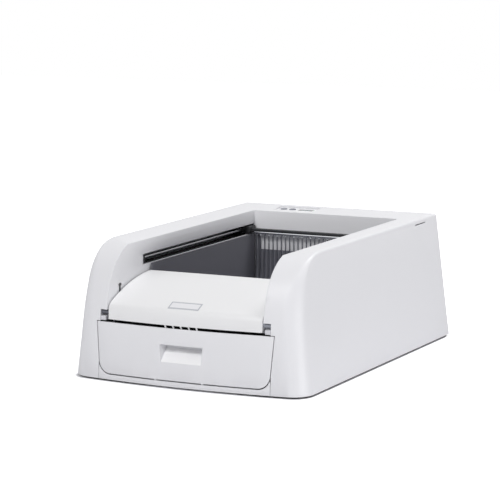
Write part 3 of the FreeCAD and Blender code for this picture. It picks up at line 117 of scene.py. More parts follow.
@dataclass(frozen=True)
class Finish:
    """Base of every finish: a shader with a grain in its bump and a soft drift in its gloss."""

    name: str
    colour: str
    roughness: float
    grain_mm: float
    grain_depth_mm: float = 0.02
    ior: float = 1.5
    metallic: float = 0.0
    drift: float = 0.05
    tint: float = 0.02
    cloud_scale: float = 14.0
    cell: Cell = Cell.SPARK
    stretch: tuple[float, float, float] = (1.0, 1.0, 1.0)

    def make(self) -> bpy.types.Material:
        """Return the material of this finish, made once."""
        known = bpy.data.materials.get(self.name)
        if known:
            return known
        material = bpy.data.materials.new(self.name)
        material.use_nodes = True
        tree = material.node_tree
        tree.nodes.clear()
        spot = add_node(tree, "ShaderNodeTexCoord").outputs["Object"]
        lay = add_node(tree, "ShaderNodeMapping", {"Vector": spot, "Scale": self.stretch}).outputs[0]
        shader = self.shade(tree, spot, lay)
        add_node(tree, "ShaderNodeOutputMaterial", {"Surface": shader})
        return material

    def shade(self, tree: bpy.types.NodeTree, spot: Any, lay: Any) -> Any:
        """Build the surface shader.

        Args:
            tree: Node tree of the material.
            spot: Object coordinates.
            lay: Object coordinates stretched along the grain.

        Returns:
            The shader's output socket.
        """
        cloud = add_node(tree, "ShaderNodeTexNoise", {"Vector": spot, "Scale": self.cloud_scale, "Detail": 3.0})
        gloss = add_node(tree, "ShaderNodeMapRange", {
            "Value": cloud.outputs[0], "From Min": 0.3, "From Max": 0.7,
            "To Min": max(0.02, self.roughness - self.drift), "To Max": min(1.0, self.roughness + self.drift)})
        shade = add_node(tree, "ShaderNodeMixRGB", {
            0: cloud.outputs[0], 1: self.toned(1 - self.tint), 2: self.toned(1 + self.tint)})
        bump = add_node(tree, "ShaderNodeBump", {
            "Strength": 1.0, "Distance": self.grain_depth_mm * MM, "Height": self.grain(tree, lay)})
        surface = add_node(tree, "ShaderNodeBsdfPrincipled", {
            "Base Color": shade.outputs[0], "Roughness": gloss.outputs[0], "Metallic": self.metallic,
            "Normal": bump.outputs[0]})
        if not self.metallic:
            surface.inputs["IOR"].default_value = self.ior
        return surface.outputs[0]

    def toned(self, share: float) -> tuple[float, float, float, float]:
        """Return the colour made lighter or darker by a share."""
        red, green, blue, alpha = linear(self.colour)
        return (min(1.0, red * share), min(1.0, green * share), min(1.0, blue * share), alpha)

    def grain(self, tree: bpy.types.NodeTree, lay: Any) -> Any:
        """Return the socket of the grain's height, with cells of the stated size."""
        texture = add_node(tree, self.cell.value, {"Vector": lay, "Scale": 1 / (self.grain_mm * MM)})
        return texture.outputs["Fac" if self.cell is Cell.SPARK else "Distance"]


@dataclass(frozen=True)
class Brushed(Finish):
    """Metal with the long fine scratches that rolling or brushing leaves along one axis."""

    def grain(self, tree: bpy.types.NodeTree, lay: Any) -> Any:
        """Return stretched noise, a coarse and a fine one added together."""
        fine = add_node(tree, "ShaderNodeTexNoise", {"Vector": lay, "Scale": 1 / (self.grain_mm * MM)})
        wide = add_node(tree, "ShaderNodeTexNoise", {"Vector": lay, "Scale": 0.3 / (self.grain_mm * MM)})
        both = add_node(tree, "ShaderNodeMath", {0: fine.outputs[0], 1: wide.outputs[0]}, operation="ADD")
        return both.outputs[0]


@dataclass(frozen=True)
class Fleece(Finish):
    """Carbon fleece: tangled fibres with open gaps between them."""

    def grain(self, tree: bpy.types.NodeTree, lay: Any) -> Any:
        """Return crossed fibres from two warped waves."""
        size = 1 / (self.grain_mm * MM)
        fibre = add_node(tree, "ShaderNodeTexWave", {
            "Vector": lay, "Scale": size / 6, "Distortion": 9.0, "Detail": 4.0})
        gap = add_node(tree, "ShaderNodeTexVoronoi", {"Vector": lay, "Scale": size})
        both = add_node(tree, "ShaderNodeMath", {0: fibre.outputs[1], 1: gap.outputs[0]}, operation="ADD")
        return both.outputs[0]


@dataclass(frozen=True)
class Lacquered(Finish):
    """Circuit board: green solder mask over copper tracks that show as slightly paler lines."""

    track: str = "2F7A45"

    def shade(self, tree: bpy.types.NodeTree, spot: Any, lay: Any) -> Any:
        """Build the board's shader from a brick pattern of tracks."""
        brick = add_node(tree, "ShaderNodeTexBrick", {
            "Vector": spot, "Color1": linear(self.colour), "Color2": self.toned(0.8),
            "Mortar": linear(self.track), "Scale": 1 / (self.grain_mm * MM), "Mortar Size": 0.08,
            "Brick Width": 1.4, "Row Height": 0.5})
        surface = add_node(tree, "ShaderNodeBsdfPrincipled", {
            "Base Color": brick.outputs[0], "Roughness": self.roughness, "IOR": self.ior})
        return surface.outputs[0]


# ABS straight from a spark-eroded mould: pale, cool and satin, with soft highlights.
# Its real grain is under 0.1 mm, so it and every moulded grain below is drawn coarser to be felt at all.
HOUSING = Finish("moulded_abs_cool_grey", "E6E6E9", 0.42, 0.8, 0.012, 1.54, tint=0.008)
# The same ABS from a smoother mould, as on parts that are wiped often: a little glossier.
FASCIA = Finish("moulded_abs_smooth_grey", "E5E5E8", 0.36, 0.9, 0.008, 1.54, tint=0.008)
# The step's ABS is a warmer white and duller, so that it isn't slippery.
CROWN = Finish("moulded_abs_step_grey", "EAEAEB", 0.46, 0.9, 0.012, 1.54, tint=0.008)
# Near white ABS of panels and runners, with a soft sheen.
WHITE_ABS = Finish("moulded_abs_near_white", "F1F1F3", 0.34, 0.7, 0.010, 1.54, tint=0.01)
# White glossy ABS, painted light: it makes the floor of the grip read brighter than its sides, where the lamp
# falls.
GRIP_LIGHT = Finish("painted_light_abs_white", "FDFDFE", 0.18, 1.5, 0.003, 1.54, tint=0.004)
# Greys moulded through for the badge rim and the mid grey parts; the ledge grey and the dark grey are painted
# shade.
# Ledge grey: the ledges in the notches under the lugs, darkened as painted shade.
LEDGE = Finish("moulded_abs_ledge_painted_shade", "D3D3D8", 0.45, 0.8, 0.012, 1.54, tint=0.01)
RIM_GREY = Finish("moulded_abs_badge_rim", "B9BBC1", 0.4, 0.8, 0.006, 1.54, tint=0.01)
GREY_ABS = Finish("moulded_abs_mid_grey", "8C8F98", 0.45, 0.8, 0.015, 1.54)
# Dark grey: painted shade, for the left lug in its notch and the frames in the sensor slits.
SHADED = Finish("painted_shade_abs_grey", "5A5C64", 0.5, 0.8, 0.015, 1.54)
# Black ABS of hidden carriers and caps: matt, with a faint blue.
BLACK_ABS = Finish("moulded_abs_black", "232428", 0.48, 0.7, 0.02, 1.54, tint=0.05)
# Painted shade: dark patches that stand for recesses and slits in shade, the screws' crosses and the cores of
# the sensor slits.
DARK_HOLE = Finish("shaded_abs_recess", "26272C", 0.6, 0.8, 0.01, 1.54)
# Polypropylene with a matt erosion grain, which hides scratches from litter.
CHARCOAL = Finish("moulded_polypropylene_charcoal", "73737B", 0.55, 0.9, 0.03, 1.49, tint=0.04)
GREY_PP = Finish("moulded_polypropylene_grey", "9A9CA3", 0.5, 0.9, 0.02, 1.49)
# Acetal gears and pulleys: waxy white with a dull shine.
ACETAL = Finish("machined_acetal_white", "E9E7DF", 0.38, 0.5, 0.01, 1.48)
# Rubber: near black and dead matt, pebbled by its mould.
RUBBER = Finish("moulded_rubber_black", "1B1B1D", 0.8, 1.2, 0.06, 1.52, cell=Cell.PEBBLE)
BELT = Finish("toothed_belt_rubber", "17171A", 0.7, 0.8, 0.05, 1.52)
# Black matt strips with no gloss and tiny pits: painted shade, set in the gaps round the drawer where only
# shade falls.
GAP_SHADE = Finish("painted_gap_shade_black", "0B0B0C", 0.95, 0.8, 0.1, 1.4, cell=Cell.PEBBLE)
# Dark clear plastics: they look black and mirror the lamps sharply.
LENS = Finish("dyed_polycarbonate_lens", "120A10", 0.08, 2.0, 0.002, 1.58)
WINDOW = Finish("smoked_acrylic_window", "0C0D10", 0.06, 3.0, 0.001, 1.49)
# Chrome plate over steel wire: mirror bright, cool, with a faint waviness.
CHROME = Finish("chrome_plated_wire", "E4E6EA", 0.1, 6.0, 0.004, metallic=1.0, drift=0.03)
# Ground rods, plated sheet and a drawn can: highlights drawn out across their fine scratches.
STEEL = Brushed("ground_steel_rod", "BFC1C4", 0.24, 0.25, 0.004, metallic=1.0, stretch=(1.0, 0.04, 1.0))
ZINC = Brushed("zinc_plated_steel", "A9ADB0", 0.34, 0.4, 0.006, metallic=1.0, stretch=(1.0, 0.2, 1.0))
CAN = Brushed("drawn_steel_can", "9DA0A4", 0.3, 0.4, 0.006, metallic=1.0, stretch=(0.05, 1.0, 1.0))
# Sintered bronze: brown, porous and oily.
BRONZE = Finish("sintered_bronze", "A67F45", 0.45, 0.3, 0.01, metallic=1.0, cell=Cell.PEBBLE)
# Carbon fleece swallows light between its fibres.
CARBON = Fleece("carbon_fleece", "18181A", 0.95, 1.2, 0.5, 1.5)
# Solder mask: glossy green lacquer with paler tracks.
BOARD = Lacquered("lacquered_circuit_board", "0F4A2A", 0.3, 3.0)
# Display segments, ink and lamp: smooth, so their colour stays even.
DIGIT = Finish("display_segment", "BFD4DC", 0.3, 0.5, 0.002, 1.5)
PRINT_GREY = Finish("pad_printed_grey_ink", "6C6F78", 0.5, 0.5, 0.002, 1.5)
LED_GREEN = Finish("diffused_green_lamp", "3BB36A", 0.3, 0.5, 0.002, 1.5)

SLOT_FINISH: dict[str, Finish] = {
    "housing_plastic": HOUSING, "drawer_plastic": FASCIA, "charcoal_plastic": CHARCOAL,
    "dark_plastic": BLACK_ABS, "grey_plastic": GREY_ABS, "white_plastic": WHITE_ABS, "foot_rubber": RUBBER,
    "screw_steel": ZINC, "rail_steel": STEEL, "comb_chrome": CHROME, "bush_brass": BRONZE, "motor_can": CAN,
    "belt_rubber": BELT, "carbon_pad": CARBON, "circuit_green": BOARD, "window_glass": WINDOW,
    "lens_dark": LENS,
}
NODE_FINISH: dict[str, Finish] = {
    # The left lug and both ledges take painted shade of their notches.
    "step_cover": CROWN, "hinge_pin_left": SHADED, "cover_bracket_left": LEDGE, "cover_bracket_right": LEDGE,
    "waste_bin": GREY_PP, "filter_tray": GREY_PP, "tub_cradle": GREY_PP, "drive_gear": ACETAL,
    "drive_pulley_left": ACETAL, "drive_pulley_right": ACETAL, "idler_pulley_left": ACETAL,
    "idler_pulley_right": ACETAL,
}


# Turns that lay a form built along Z onto another axis.
AXIS_TURN = {"x": Matrix.Rotation(math.pi / 2, 4, "Y"), "y": Matrix.Rotation(-math.pi / 2, 4, "X"),
             "z": Matrix.Identity(4)}
MERGE_M = 1e-6
SHARP_DEG = 30.0
# Where a turned outline meets its axis, in millimetres.
AXIS_GAP = 0.01


class Mesh:
    """A piece under construction, in metres and in place."""

    def __init__(self) -> None:
        """Start with an empty bmesh."""
        self.bm = bmesh.new()

    def block(self, low: Iterable[float], high: Iterable[float]) -> list[bmesh.types.BMVert]:
        """Add a box between two corners in millimetres and return its vertices."""
        a, b = Vector(low) * MM, Vector(high) * MM
        size = b - a
        move = Matrix.Translation((a + b) / 2) @ Matrix.Diagonal((size.x, size.y, size.z, 1))
        return bmesh.ops.create_cube(self.bm, size=1.0, matrix=move)["verts"]

    def disc(self, centre: Iterable[float], radius: float, height: float, axis: str = "z", sides: int = 32,
             top: float | None = None) -> list[bmesh.types.BMVert]:
        """Add a round rod or cone.

        Args:
            centre: Middle of its low end in millimetres.
            radius: Radius at that end.
            height: Length along the axis.
            axis: x, y or z.
            sides: Number of sides.
            top: Radius at the far end where it differs.

        Returns:
            Its vertices.
        """
        turn = AXIS_TURN[axis]
        place = Matrix.Translation(Vector(centre) * MM) @ turn @ Matrix.Translation((0, 0, height * MM / 2))
        return bmesh.ops.create_cone(
            self.bm, cap_ends=True, segments=sides, radius1=radius * MM,
            radius2=(radius if top is None else top) * MM, depth=height * MM, matrix=place)["verts"]

    def spin(self, outline: list[tuple[float, float]], centre: Iterable[float], axis: str = "z",
             steps: int = 48) -> None:
        """Turn an outline of radius and height pairs, in millimetres, round an axis."""
        turn = AXIS_TURN[axis]
        place = Matrix.Translation(Vector(centre) * MM) @ turn
        known = set(self.bm.verts)
        start = [self.bm.verts.new((r * MM, 0, h * MM)) for r, h in outline]
        edges = [self.bm.edges.new(pair) for pair in zip(start, start[1:])]
        bmesh.ops.spin(self.bm, geom=start + edges, cent=(0, 0, 0), axis=(0, 0, 1), angle=2 * math.pi,
                       steps=steps, use_merge=True)
        bmesh.ops.transform(self.bm, matrix=place, verts=[v for v in self.bm.verts if v not in known])

    def soften(self, width: float, segments: int = 2, chosen: Callable[[Any], bool] | None = None) -> None:
        """Round sharp edges.

        Args:
            width: Radius in millimetres.
            segments: Steps across the round.
            chosen: Picks the edges; all sharp ones if left out.
        """
        pick = chosen or (lambda e: len(e.link_faces) == 2 and e.calc_face_angle(0) > math.radians(SHARP_DEG))
        bmesh.ops.bevel(self.bm, geom=[e for e in self.bm.edges if pick(e)], offset=width * MM, affect="EDGES",
                        segments=segments, profile=0.5, material=-1, clamp_overlap=True)

    def finish(self, name: str, body: str, finish: Finish, slot: str, *instead: str,
               smooth_deg: float = 35.0) -> bpy.types.Object:
        """Make the object, dress it and let it ride.

        Args:
            name: Name of the piece.
            body: CAD body it moves with.
            finish: Finish of its surface.
            slot: The record's material slot; not used.
            instead: CAD nodes that it stands for.
            smooth_deg: Edges sharper than this stay crisp.

        Returns:
            The new object.
        """
        bmesh.ops.remove_doubles(self.bm, verts=self.bm.verts, dist=MERGE_M)
        bmesh.ops.recalc_face_normals(self.bm, faces=self.bm.faces)
        for face in self.bm.faces:
            face.smooth = True
        for edge in self.bm.edges:
            edge.smooth = len(edge.link_faces) == 2 and edge.calc_face_angle(0) < math.radians(smooth_deg)
        data = bpy.data.meshes.new(name)
        self.bm.to_mesh(data)
        self.bm.free()
        made = bpy.data.objects.new(name, data)
        bpy.context.scene.collection.objects.link(made)
        data.materials.append(finish.make())
        if instead:
            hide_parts(*instead)
        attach(made, body)
        log.info("%s: %d faces, rides on %s", name, len(data.polygons), body)
        return made


class CarriedNodes:
    """CAD nodes that keep their shape and get a finish, smooth curves and softened edges."""

    softened: dict[str, float] = {
        "housing": 0.5, "front_apron": 0.5, "drawer_front": 0.5, "step_cover": 0.5, "litter_tub": 0.8,
        "waste_bin": 0.6, "rubber_feet": 0.8, "control_panel": 0.4, "tub_cradle": 0.5,
        "cover_bracket_left": 0.4, "cover_bracket_right": 0.4, "rake_carriage_left": 0.5,
        "rake_carriage_right": 0.5, "gearmotor": 0.6,
    }
    weld_mm: float = 0.02
    bevel_deg: float = 40.0
    crisp_deg: float = 32.0

    def dress(self) -> None:
        """Give every CAD node its slot's finish and its shading."""
        slots = {part["node"]: part["material_slot"] for part in frame["record"]["subparts"]}
        for name, node in frame["nodes"].items():
            finish = NODE_FINISH.get(name, SLOT_FINISH[slots[name]])
            for face in node.data.polygons:
                face.use_smooth = True
                face.material_index = 0
            node.data.materials.clear()
            node.data.materials.append(finish.make())
            weld = node.modifiers.new("weld", "WELD")
            weld.merge_threshold = self.weld_mm * MM
            if name in self.softened:
                bevel = node.modifiers.new("edge", "BEVEL")
                bevel.width = self.softened[name] * MM
                bevel.segments = 2
                bevel.limit_method = "ANGLE"
                bevel.angle_limit = math.radians(self.bevel_deg)
                bevel.harden_normals = False
                bevel.use_clamp_overlap = True
            split = node.modifiers.new("crisp", "EDGE_SPLIT")
            split.split_angle = math.radians(self.crisp_deg)
        log.info("dressed %d carried nodes", len(frame["nodes"]))


def span(node: str) -> tuple[Vector, Vector]:
    """Return a CAD node's two corners in millimetres."""
    low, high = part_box(node)
    return Vector(low) / MM, Vector(high) / MM


def centre(node: str) -> Vector:
    """Return the middle of a CAD node's box in millimetres."""
    low, high = span(node)
    return (low + high) / 2


def both_ways(side: int, near: float, far: float) -> tuple[float, float]:
    """Return two distances from the middle plane on one side, in rising order."""
    return (near, far) if side > 0 else (-far, -near)


@dataclass
class Badge:
    """Bare plate with a thin raised rim on the step cover."""

    low: tuple[float, float] = (-34.0, -326.2)
    high: tuple[float, float] = (30.0, -307.6)
    rim: float = 2.4
    raised: float = 0.5
    plate_raised: float = 0.2
    sunk: float = 0.3
    cells: int = 24

    def build(self) -> None:
        """Lay the plate and its rim on the cover's crown."""
        plate = Mesh()
        self.lay(plate, self.rim, self.plate_raised)
        plate.finish("badge_plate", "cover", FASCIA, "drawer_plastic")
        rim = Mesh()
        width, depth = self.high[0] - self.low[0], self.high[1] - self.low[1]
        for low, high in (((0, 0), (width, self.rim)), ((0, depth - self.rim), (width, depth)),
                          ((0, self.rim), (self.rim, depth - self.rim)),
                          ((width - self.rim, self.rim), (width, depth - self.rim))):
            self.lay(rim, 0.0, self.raised, low, high)
        rim.finish("badge_rim", "cover", RIM_GREY, "drawer_plastic")

    def lay(self, piece: Mesh, inset: float, raised: float, low: tuple[float, float] = (0.0, 0.0),
            high: tuple[float, float] | None = None) -> None:
        """Add a patch that follows the crown.

        Args:
            piece: The mesh it goes into.
            inset: Distance from the plate's outline.
            raised: Height over the crown.
            low: Corner from the plate's own corner.
            high: Opposite corner; the plate's far corner if left out.
        """
        high = high or (self.high[0] - self.low[0], self.high[1] - self.low[1])
        x0, y0 = self.low[0] + low[0] + inset, self.low[1] + low[1] + inset
        x1, y1 = self.low[0] + high[0] - inset, self.low[1] + high[1] - inset
        known = set(piece.bm.verts)
        bmesh.ops.create_grid(piece.bm, x_segments=self.cells, y_segments=self.cells // 2, size=0.5)
        patch = [v for v in piece.bm.verts if v not in known]
        faces = list(dict.fromkeys(f for v in patch for f in v.link_faces))
        for v in patch:
            v.co = Vector((x0 + (v.co.x + 0.5) * (x1 - x0), y0 + (v.co.y + 0.5) * (y1 - y0), 0)) * MM
            v.co.z = self.crown(v.co.x, v.co.y) + raised * MM
        made = bmesh.ops.extrude_face_region(piece.bm, geom=faces)["geom"]
        skirt = [v for v in made if isinstance(v, bmesh.types.BMVert)]
        bmesh.ops.translate(piece.bm, verts=skirt, vec=(0, 0, -(raised + self.sunk) * MM))

    def crown(self, x: float, y: float) -> float:
        """Return the height of the cover's crown at a place, in metres."""
        cover = frame["nodes"]["step_cover"]
        return cover.ray_cast(Vector((x, y, CAD_BOX[1][2] + MM)), Vector((0, 0, -1)))[1].z


@dataclass
class GapShadeStrips:
    """Black strips of painted shade that darken the slit over the drawer and the gaps at its ends."""

    thick: float = 3.0
    height: float = 8.0
    overhang: float = 4.0
    edge: float = 0.6
    side_gap: float = 5.0
    side_width: float = 24.5
    side_depths: tuple[float, float] = (6.6, 4.6)
    facing_width: float = 5.6
    facing_depths: tuple[float, float] = (8.0, 6.9)
    side_low: float = 60.0
    side_high: float = 112.6
    ledge_shade_x: tuple[float, float] = (161.0, 177.0)
    ledge_shade_y: tuple[float, float] = (-326.9, -324.0)
    ledge_shade_sunk: float = 0.2
    ledge_shade_height: float = 1.9

    def build(self) -> None:
        """Set one strip on the bin's front wall and one behind each end of the drawer front."""
        low, high = span("waste_bin")
        strip = Mesh()
        strip.block((low.x - self.overhang, low.y + 0.05, high.z - 0.2),
                    (high.x + self.overhang, low.y + self.thick, high.z + self.height))
        strip.soften(self.edge)
        strip.finish("bin_gap_shade", "drawer", GAP_SHADE, "foot_rubber")
        inner = high.x + self.side_gap
        sides = Mesh()
        for side in (-1, 1):
            for width, (front, back) in ((self.side_width, self.side_depths),
                                         (self.facing_width, self.facing_depths)):
                reach = both_ways(side, inner, inner + width)
                sides.block((reach[0], low.y - front, self.side_low), (reach[1], low.y - back, self.side_high))
        sides.finish("bay_gap_shades", "root", GAP_SHADE, "foot_rubber")
        self.build_ledge_shades()

    def build_ledge_shades(self) -> None:
        """Lay a strip of painted shade on both ends of the drawer front's top edge, under the ledges."""
        top = span("drawer_front")[1].z
        strips = Mesh()
        for side in (-1, 1):
            reach = both_ways(side, *self.ledge_shade_x)
            strips.block((reach[0], self.ledge_shade_y[0], top - self.ledge_shade_sunk),
                         (reach[1], self.ledge_shade_y[1], top + self.ledge_shade_height))
        strips.finish("drawer_gap_shades", "drawer", GAP_SHADE, "foot_rubber")


@dataclass
class GripLightPad:
    """White glossy patch of painted light on the sloping floor of the drawer's grip."""

    foot: tuple[float, float] = (-341.0, 48.0)
    head: tuple[float, float] = (-317.5, 70.6)
    half_width: float = 41.0
    thick: float = 0.6

    def build(self) -> None:
        """Lay the patch along the slope."""
        (y0, z0), (y1, z1) = self.foot, self.head
        length = math.hypot(y1 - y0, z1 - z0)
        place = Matrix.Translation(Vector((0, (y0 + y1) / 2, (z0 + z1) / 2)) * MM)
        turn = Matrix.Rotation(math.atan2(z1 - z0, y1 - y0), 4, "X")
        size = Matrix.Diagonal((self.half_width * 2 * MM, length * MM, self.thick * MM, 1))
        pad = Mesh()
        bmesh.ops.create_cube(pad.bm, size=1.0, matrix=place @ turn @ size)
        pad.finish("grip_light_pad", "drawer", GRIP_LIGHT, "white_plastic")


@dataclass
class EyeBezels:
    """Dark oval bezel round each sensor eye, and painted shade in the slit below: a grey band with a darker
    core.
    """

    length: float = 10.0
    height: float = 6.6
    raised: float = 0.5
    frame: tuple[float, float] = (-3.6, 2.6)
    seal: tuple[float, float] = (-3.0, 0.4)
    drop: tuple[float, float] = (17.5, 3.0)
    wall: float = 163.0
    sunk: float = 0.05
    slit_sunk: float = 1.5
    frame_proud: float = 0.25
    core_proud: float = 0.35

    def build(self) -> None:
        """Dress both inner walls."""
        low, high = span("sensor_eyes")
        y, z = (low.y + high.y) / 2, (low.z + high.z) / 2
        bezels, frames, cores = Mesh(), Mesh(), Mesh()
        for side in (-1, 1):
            middle = side * (self.wall - self.raised / 2 + self.sunk)
            place = Matrix.Translation(Vector((middle, y, z)) * MM) @ Matrix.Rotation(math.pi / 2, 4, "Y")
            size = Matrix.Diagonal((self.height / self.length, 1, 1, 1))
            bmesh.ops.create_cone(bezels.bm, cap_ends=True, segments=32, radius1=self.length / 2 * MM,
                                  radius2=self.length / 2 * MM, depth=self.raised * MM, matrix=place @ size)
            # The grey band and the darker core in each slit are painted shade.
            for piece, (front, back), proud in ((frames, self.frame, self.frame_proud),
                                                (cores, self.seal, self.core_proud)):
                reach = both_ways(side, self.wall - proud, self.wall + self.slit_sunk)
                piece.block((reach[0], y + front, z - self.drop[0]), (reach[1], y + back, z - self.drop[1]))
        bezels.finish("eye_bezels", "root", LENS, "lens_dark")
        frames.finish("slit_shade_frames", "root", SHADED, "dark_plastic")
        cores.finish("slit_shade_cores", "root", DARK_HOLE, "foot_rubber")


@dataclass
class CombBead:
    """Half-round chrome bead along the front of the comb's bar."""

    radius: float = 2.8
    end_gap: float = 1.5
    inset: float = 0.6
    drop: float = 3.0

    def build(self) -> None:
        """Run the bead between the comb's ends."""
        low, high = span("rake_comb")
        start = (low.x + self.end_gap, low.y + self.inset, high.z - self.drop)
        bead = Mesh()
        bead.disc(start, self.radius, high.x - low.x - 2 * self.end_gap, axis="x", sides=32)
        bead.finish("comb_bead", "rake", CHROME, "comb_chrome")


@dataclass
class ToothedBelts:
    """Two closed belts: a thin band with moulded teeth on its inside."""

    thick: float = 1.5
    band: float = 0.8
    pitch: float = 3.0
    tooth: float = 1.5
    side_gap: float = 0.4
    sunk: float = 0.05
    pitch_rise: float = 0.3

    def build(self) -> None:
        """Model both belts in place of their plain loops."""
        for side in ("left", "right"):
            self.build_one(f"drive_belt_{side}")

    def build_one(self, node: str) -> None:
        """Model one belt inside the box of its CAD node."""
        low, high = span(node)
        outer = (high.z - low.z) / 2
        depth = self.thick - self.band
        z = (high.z + low.z) / 2
        run = (high.y - low.y) - outer * 2
        start = low.y + outer
        x = (low.x + high.x) / 2
        piece = Mesh()
        radius = outer - self.band
        turn = Matrix.Rotation(math.pi / 2, 4, "Y")
        place = Matrix.Translation(Vector((x, start, z)) * MM) @ turn
        bmesh.ops.create_cone(piece.bm, cap_ends=False, segments=48, radius1=outer * MM, radius2=outer * MM,
                              depth=(high.x - low.x) * MM, matrix=place)
        rear = [v for v in piece.bm.verts if v.co.y > (start + 0.01) * MM]
        bmesh.ops.recalc_face_normals(piece.bm, faces=piece.bm.faces)
        bmesh.ops.translate(piece.bm, verts=rear, vec=(0, run * MM, 0))
        bmesh.ops.solidify(piece.bm, geom=list(piece.bm.faces), thickness=self.band * MM)
        length = 2 * run + 2 * math.pi * radius
        count = int(length / self.pitch)
        for i in range(count):
            y, up, lean = self.on_loop(i * length / count, run, radius - depth / 2 + self.sunk)
            place = Matrix.Translation(Vector((x, start + y, z + up)) * MM) @ Matrix.Rotation(lean, 4, "X")
            size = Matrix.Diagonal(((high.x - low.x - self.side_gap) * MM, self.tooth * MM, depth * MM, 1))
            bmesh.ops.create_cube(piece.bm, size=1.0, matrix=place @ size)
        piece.finish(node + "_toothed", "root", BELT, "belt_rubber", node)

    def on_loop(self, along: float, run: float, radius: float) -> tuple[float, float, float]:
        """Find a place on the loop.

        Args:
            along: Distance from the front end of the upper run, on the teeth's pitch line.
            run: Length of a straight run.
            radius: Radius of the teeth's middle.

        Returns:
            Distance to the rear, height and lean about X.
        """
        arc = math.pi * (radius + self.pitch_rise)
        if along < run:
            return along, radius, 0.0
        past = along - run
        if past < arc:
            angle = past / arc * math.pi
            return run + radius * math.sin(angle), radius * math.cos(angle), -angle
        past -= arc
        if past < run:
            return run - past, -radius, math.pi
        angle = min(1.0, (past - run) / arc) * math.pi
        return -radius * math.sin(angle), -radius * math.cos(angle), math.pi - angle


@dataclass
class SkirtShadeLip:
    """Black rubber lip under the rim of the base pan: painted shade that fills the shadow gap between the skirt
    and the floor as a dark line.
    """

    drop: float = 3.5
    thick: float = 1.6
    side_band: float = 26.0
    rear_band: float = 10.0
    level: float = 0.05

    def build(self) -> None:
        """Draw the lip down from the pan's own outline."""
        low, high = span("base_pan")
        lip = Mesh()
        lip.bm.from_mesh(frame["nodes"]["base_pan"].data)
        bmesh.ops.remove_doubles(lip.bm, verts=lip.bm.verts, dist=MERGE_M)
        rim = [e for e in lip.bm.edges if self.on_rim(e, low, high)]
        drawn = bmesh.ops.extrude_edge_only(lip.bm, edges=rim)["geom"]
        lowered = [v for v in drawn if isinstance(v, bmesh.types.BMVert)]
        bmesh.ops.translate(lip.bm, verts=lowered, vec=(0, 0, -self.drop * MM))
        stay = {v for e in rim for v in e.verts} | set(lowered)
        bmesh.ops.delete(lip.bm, geom=[v for v in lip.bm.verts if v not in stay], context="VERTS")
        flat = [f for f in lip.bm.faces if not any(v in lowered for v in f.verts)]
        bmesh.ops.delete(lip.bm, geom=flat, context="FACES_ONLY")
        bmesh.ops.recalc_face_normals(lip.bm, faces=lip.bm.faces)
        bmesh.ops.solidify(lip.bm, geom=list(lip.bm.faces), thickness=self.thick * MM)
        # The black lip is painted shade standing for the shadow gap under the skirt.
        lip.finish("skirt_shade_lip", "root", RUBBER, "foot_rubber")

    def on_rim(self, edge: bmesh.types.BMEdge, low: Vector, high: Vector) -> bool:
        """Say whether an edge of the pan lies on the outer outline of its bottom.

        Args:
            edge: An edge of the pan's merged mesh.
            low: The pan's lowest corner in millimetres.
            high: The pan's highest corner in millimetres.

        Returns:
            True for a bottom edge between a flat face and a wall, outside the middle of the pan.
        """
        if any(v.co.z > (low.z + self.level) * MM for v in edge.verts):
            return False
        middle = (edge.verts[0].co + edge.verts[1].co) / 2 / MM
        inside = (abs(middle.x) < high.x - self.side_band
                  and low.y + self.side_band < middle.y < high.y - self.rear_band)
        return not inside and edge.calc_face_angle(0) > math.radians(SHARP_DEG)


@dataclass
class Feet:
    """Six turned rubber feet with grooves in their soles."""

    radius: float = 12.0
    groove: float = 0.5
    flank: float = 0.3
    grooves: tuple[tuple[float, float], ...] = ((3.0, 5.0), (7.0, 9.0))
    edge: float = 0.8

    def build(self) -> None:
        """Turn every foot at its own place."""
        low, high = span("rubber_feet")
        top = high.z - low.z
        r = self.radius
        outline: list[tuple[float, float]] = [(AXIS_GAP, 0)]
        for inner, outer in self.grooves:
            outline += [(inner, 0), (inner + self.flank, self.groove),
                        (outer - self.flank, self.groove), (outer, 0)]
        outline += [(r - self.edge, 0), (r, self.edge), (r, top), (AXIS_GAP, top)]
        piece = Mesh()
        for x in (low.x + r, high.x - r):
            for y in (low.y + r, 0.0, high.y - r):
                piece.spin(outline, (x, y, low.z), steps=28)
        piece.finish("feet_grooved", "root", RUBBER, "foot_rubber", "rubber_feet")


@dataclass
class CrossScrews:
    """Pan-head screws seen from below, with a cross recess drawn as a flat dark patch of painted shade."""

    head: float = 3.5
    shank: float = 1.75
    head_height: float = 1.8
    cross: float = 3.6
    cross_width: float = 0.7
    cross_depth: float = 0.3
    dome: float = 0.5
    tip: float = 1.5

    def build(self, node: str, rows: int) -> None:
        """Turn one screw at each place inside a CAD node's box.

        Args:
            node: CAD node that they stand for.
            rows: Number of rows from front to rear.
        """
        low, high = span(node)
        depth = high.z - low.z
        outline = [(AXIS_GAP, 0), (self.head * 0.7, 0), (self.head, self.dome), (self.head, self.head_height),
                   (self.shank, self.head_height), (self.shank, depth - self.tip), (0.3, depth),
                   (AXIS_GAP, depth)]
        screws = Mesh()
        marks = Mesh()
        for x, y in self.places(node, rows):
            screws.spin(outline, (x, y, low.z), steps=20)
            for w, d in ((self.cross, self.cross_width), (self.cross_width, self.cross)):
                marks.block((x - w / 2, y - d / 2, low.z), (x + w / 2, y + d / 2, low.z + self.cross_depth))
        screws.finish(node + "_turned", "root", ZINC, "screw_steel", node)
        marks.finish(node + "_recess_shades", "root", DARK_HOLE, "screw_steel")

    def places(self, node: str, rows: int) -> list[tuple[float, float]]:
        """Find the screws of a node that stand in two columns.

        Args:
            node: CAD node that holds them.
            rows: Number of rows from front to rear.

        Returns:
            Middle of every screw in millimetres.
        """
        low, high = span(node)
        step = (high.y - low.y - 2 * self.head) / (rows - 1)
        return [(x, low.y + self.head + i * step) for x in (low.x + self.head, high.x - self.head)
                for i in range(rows)]


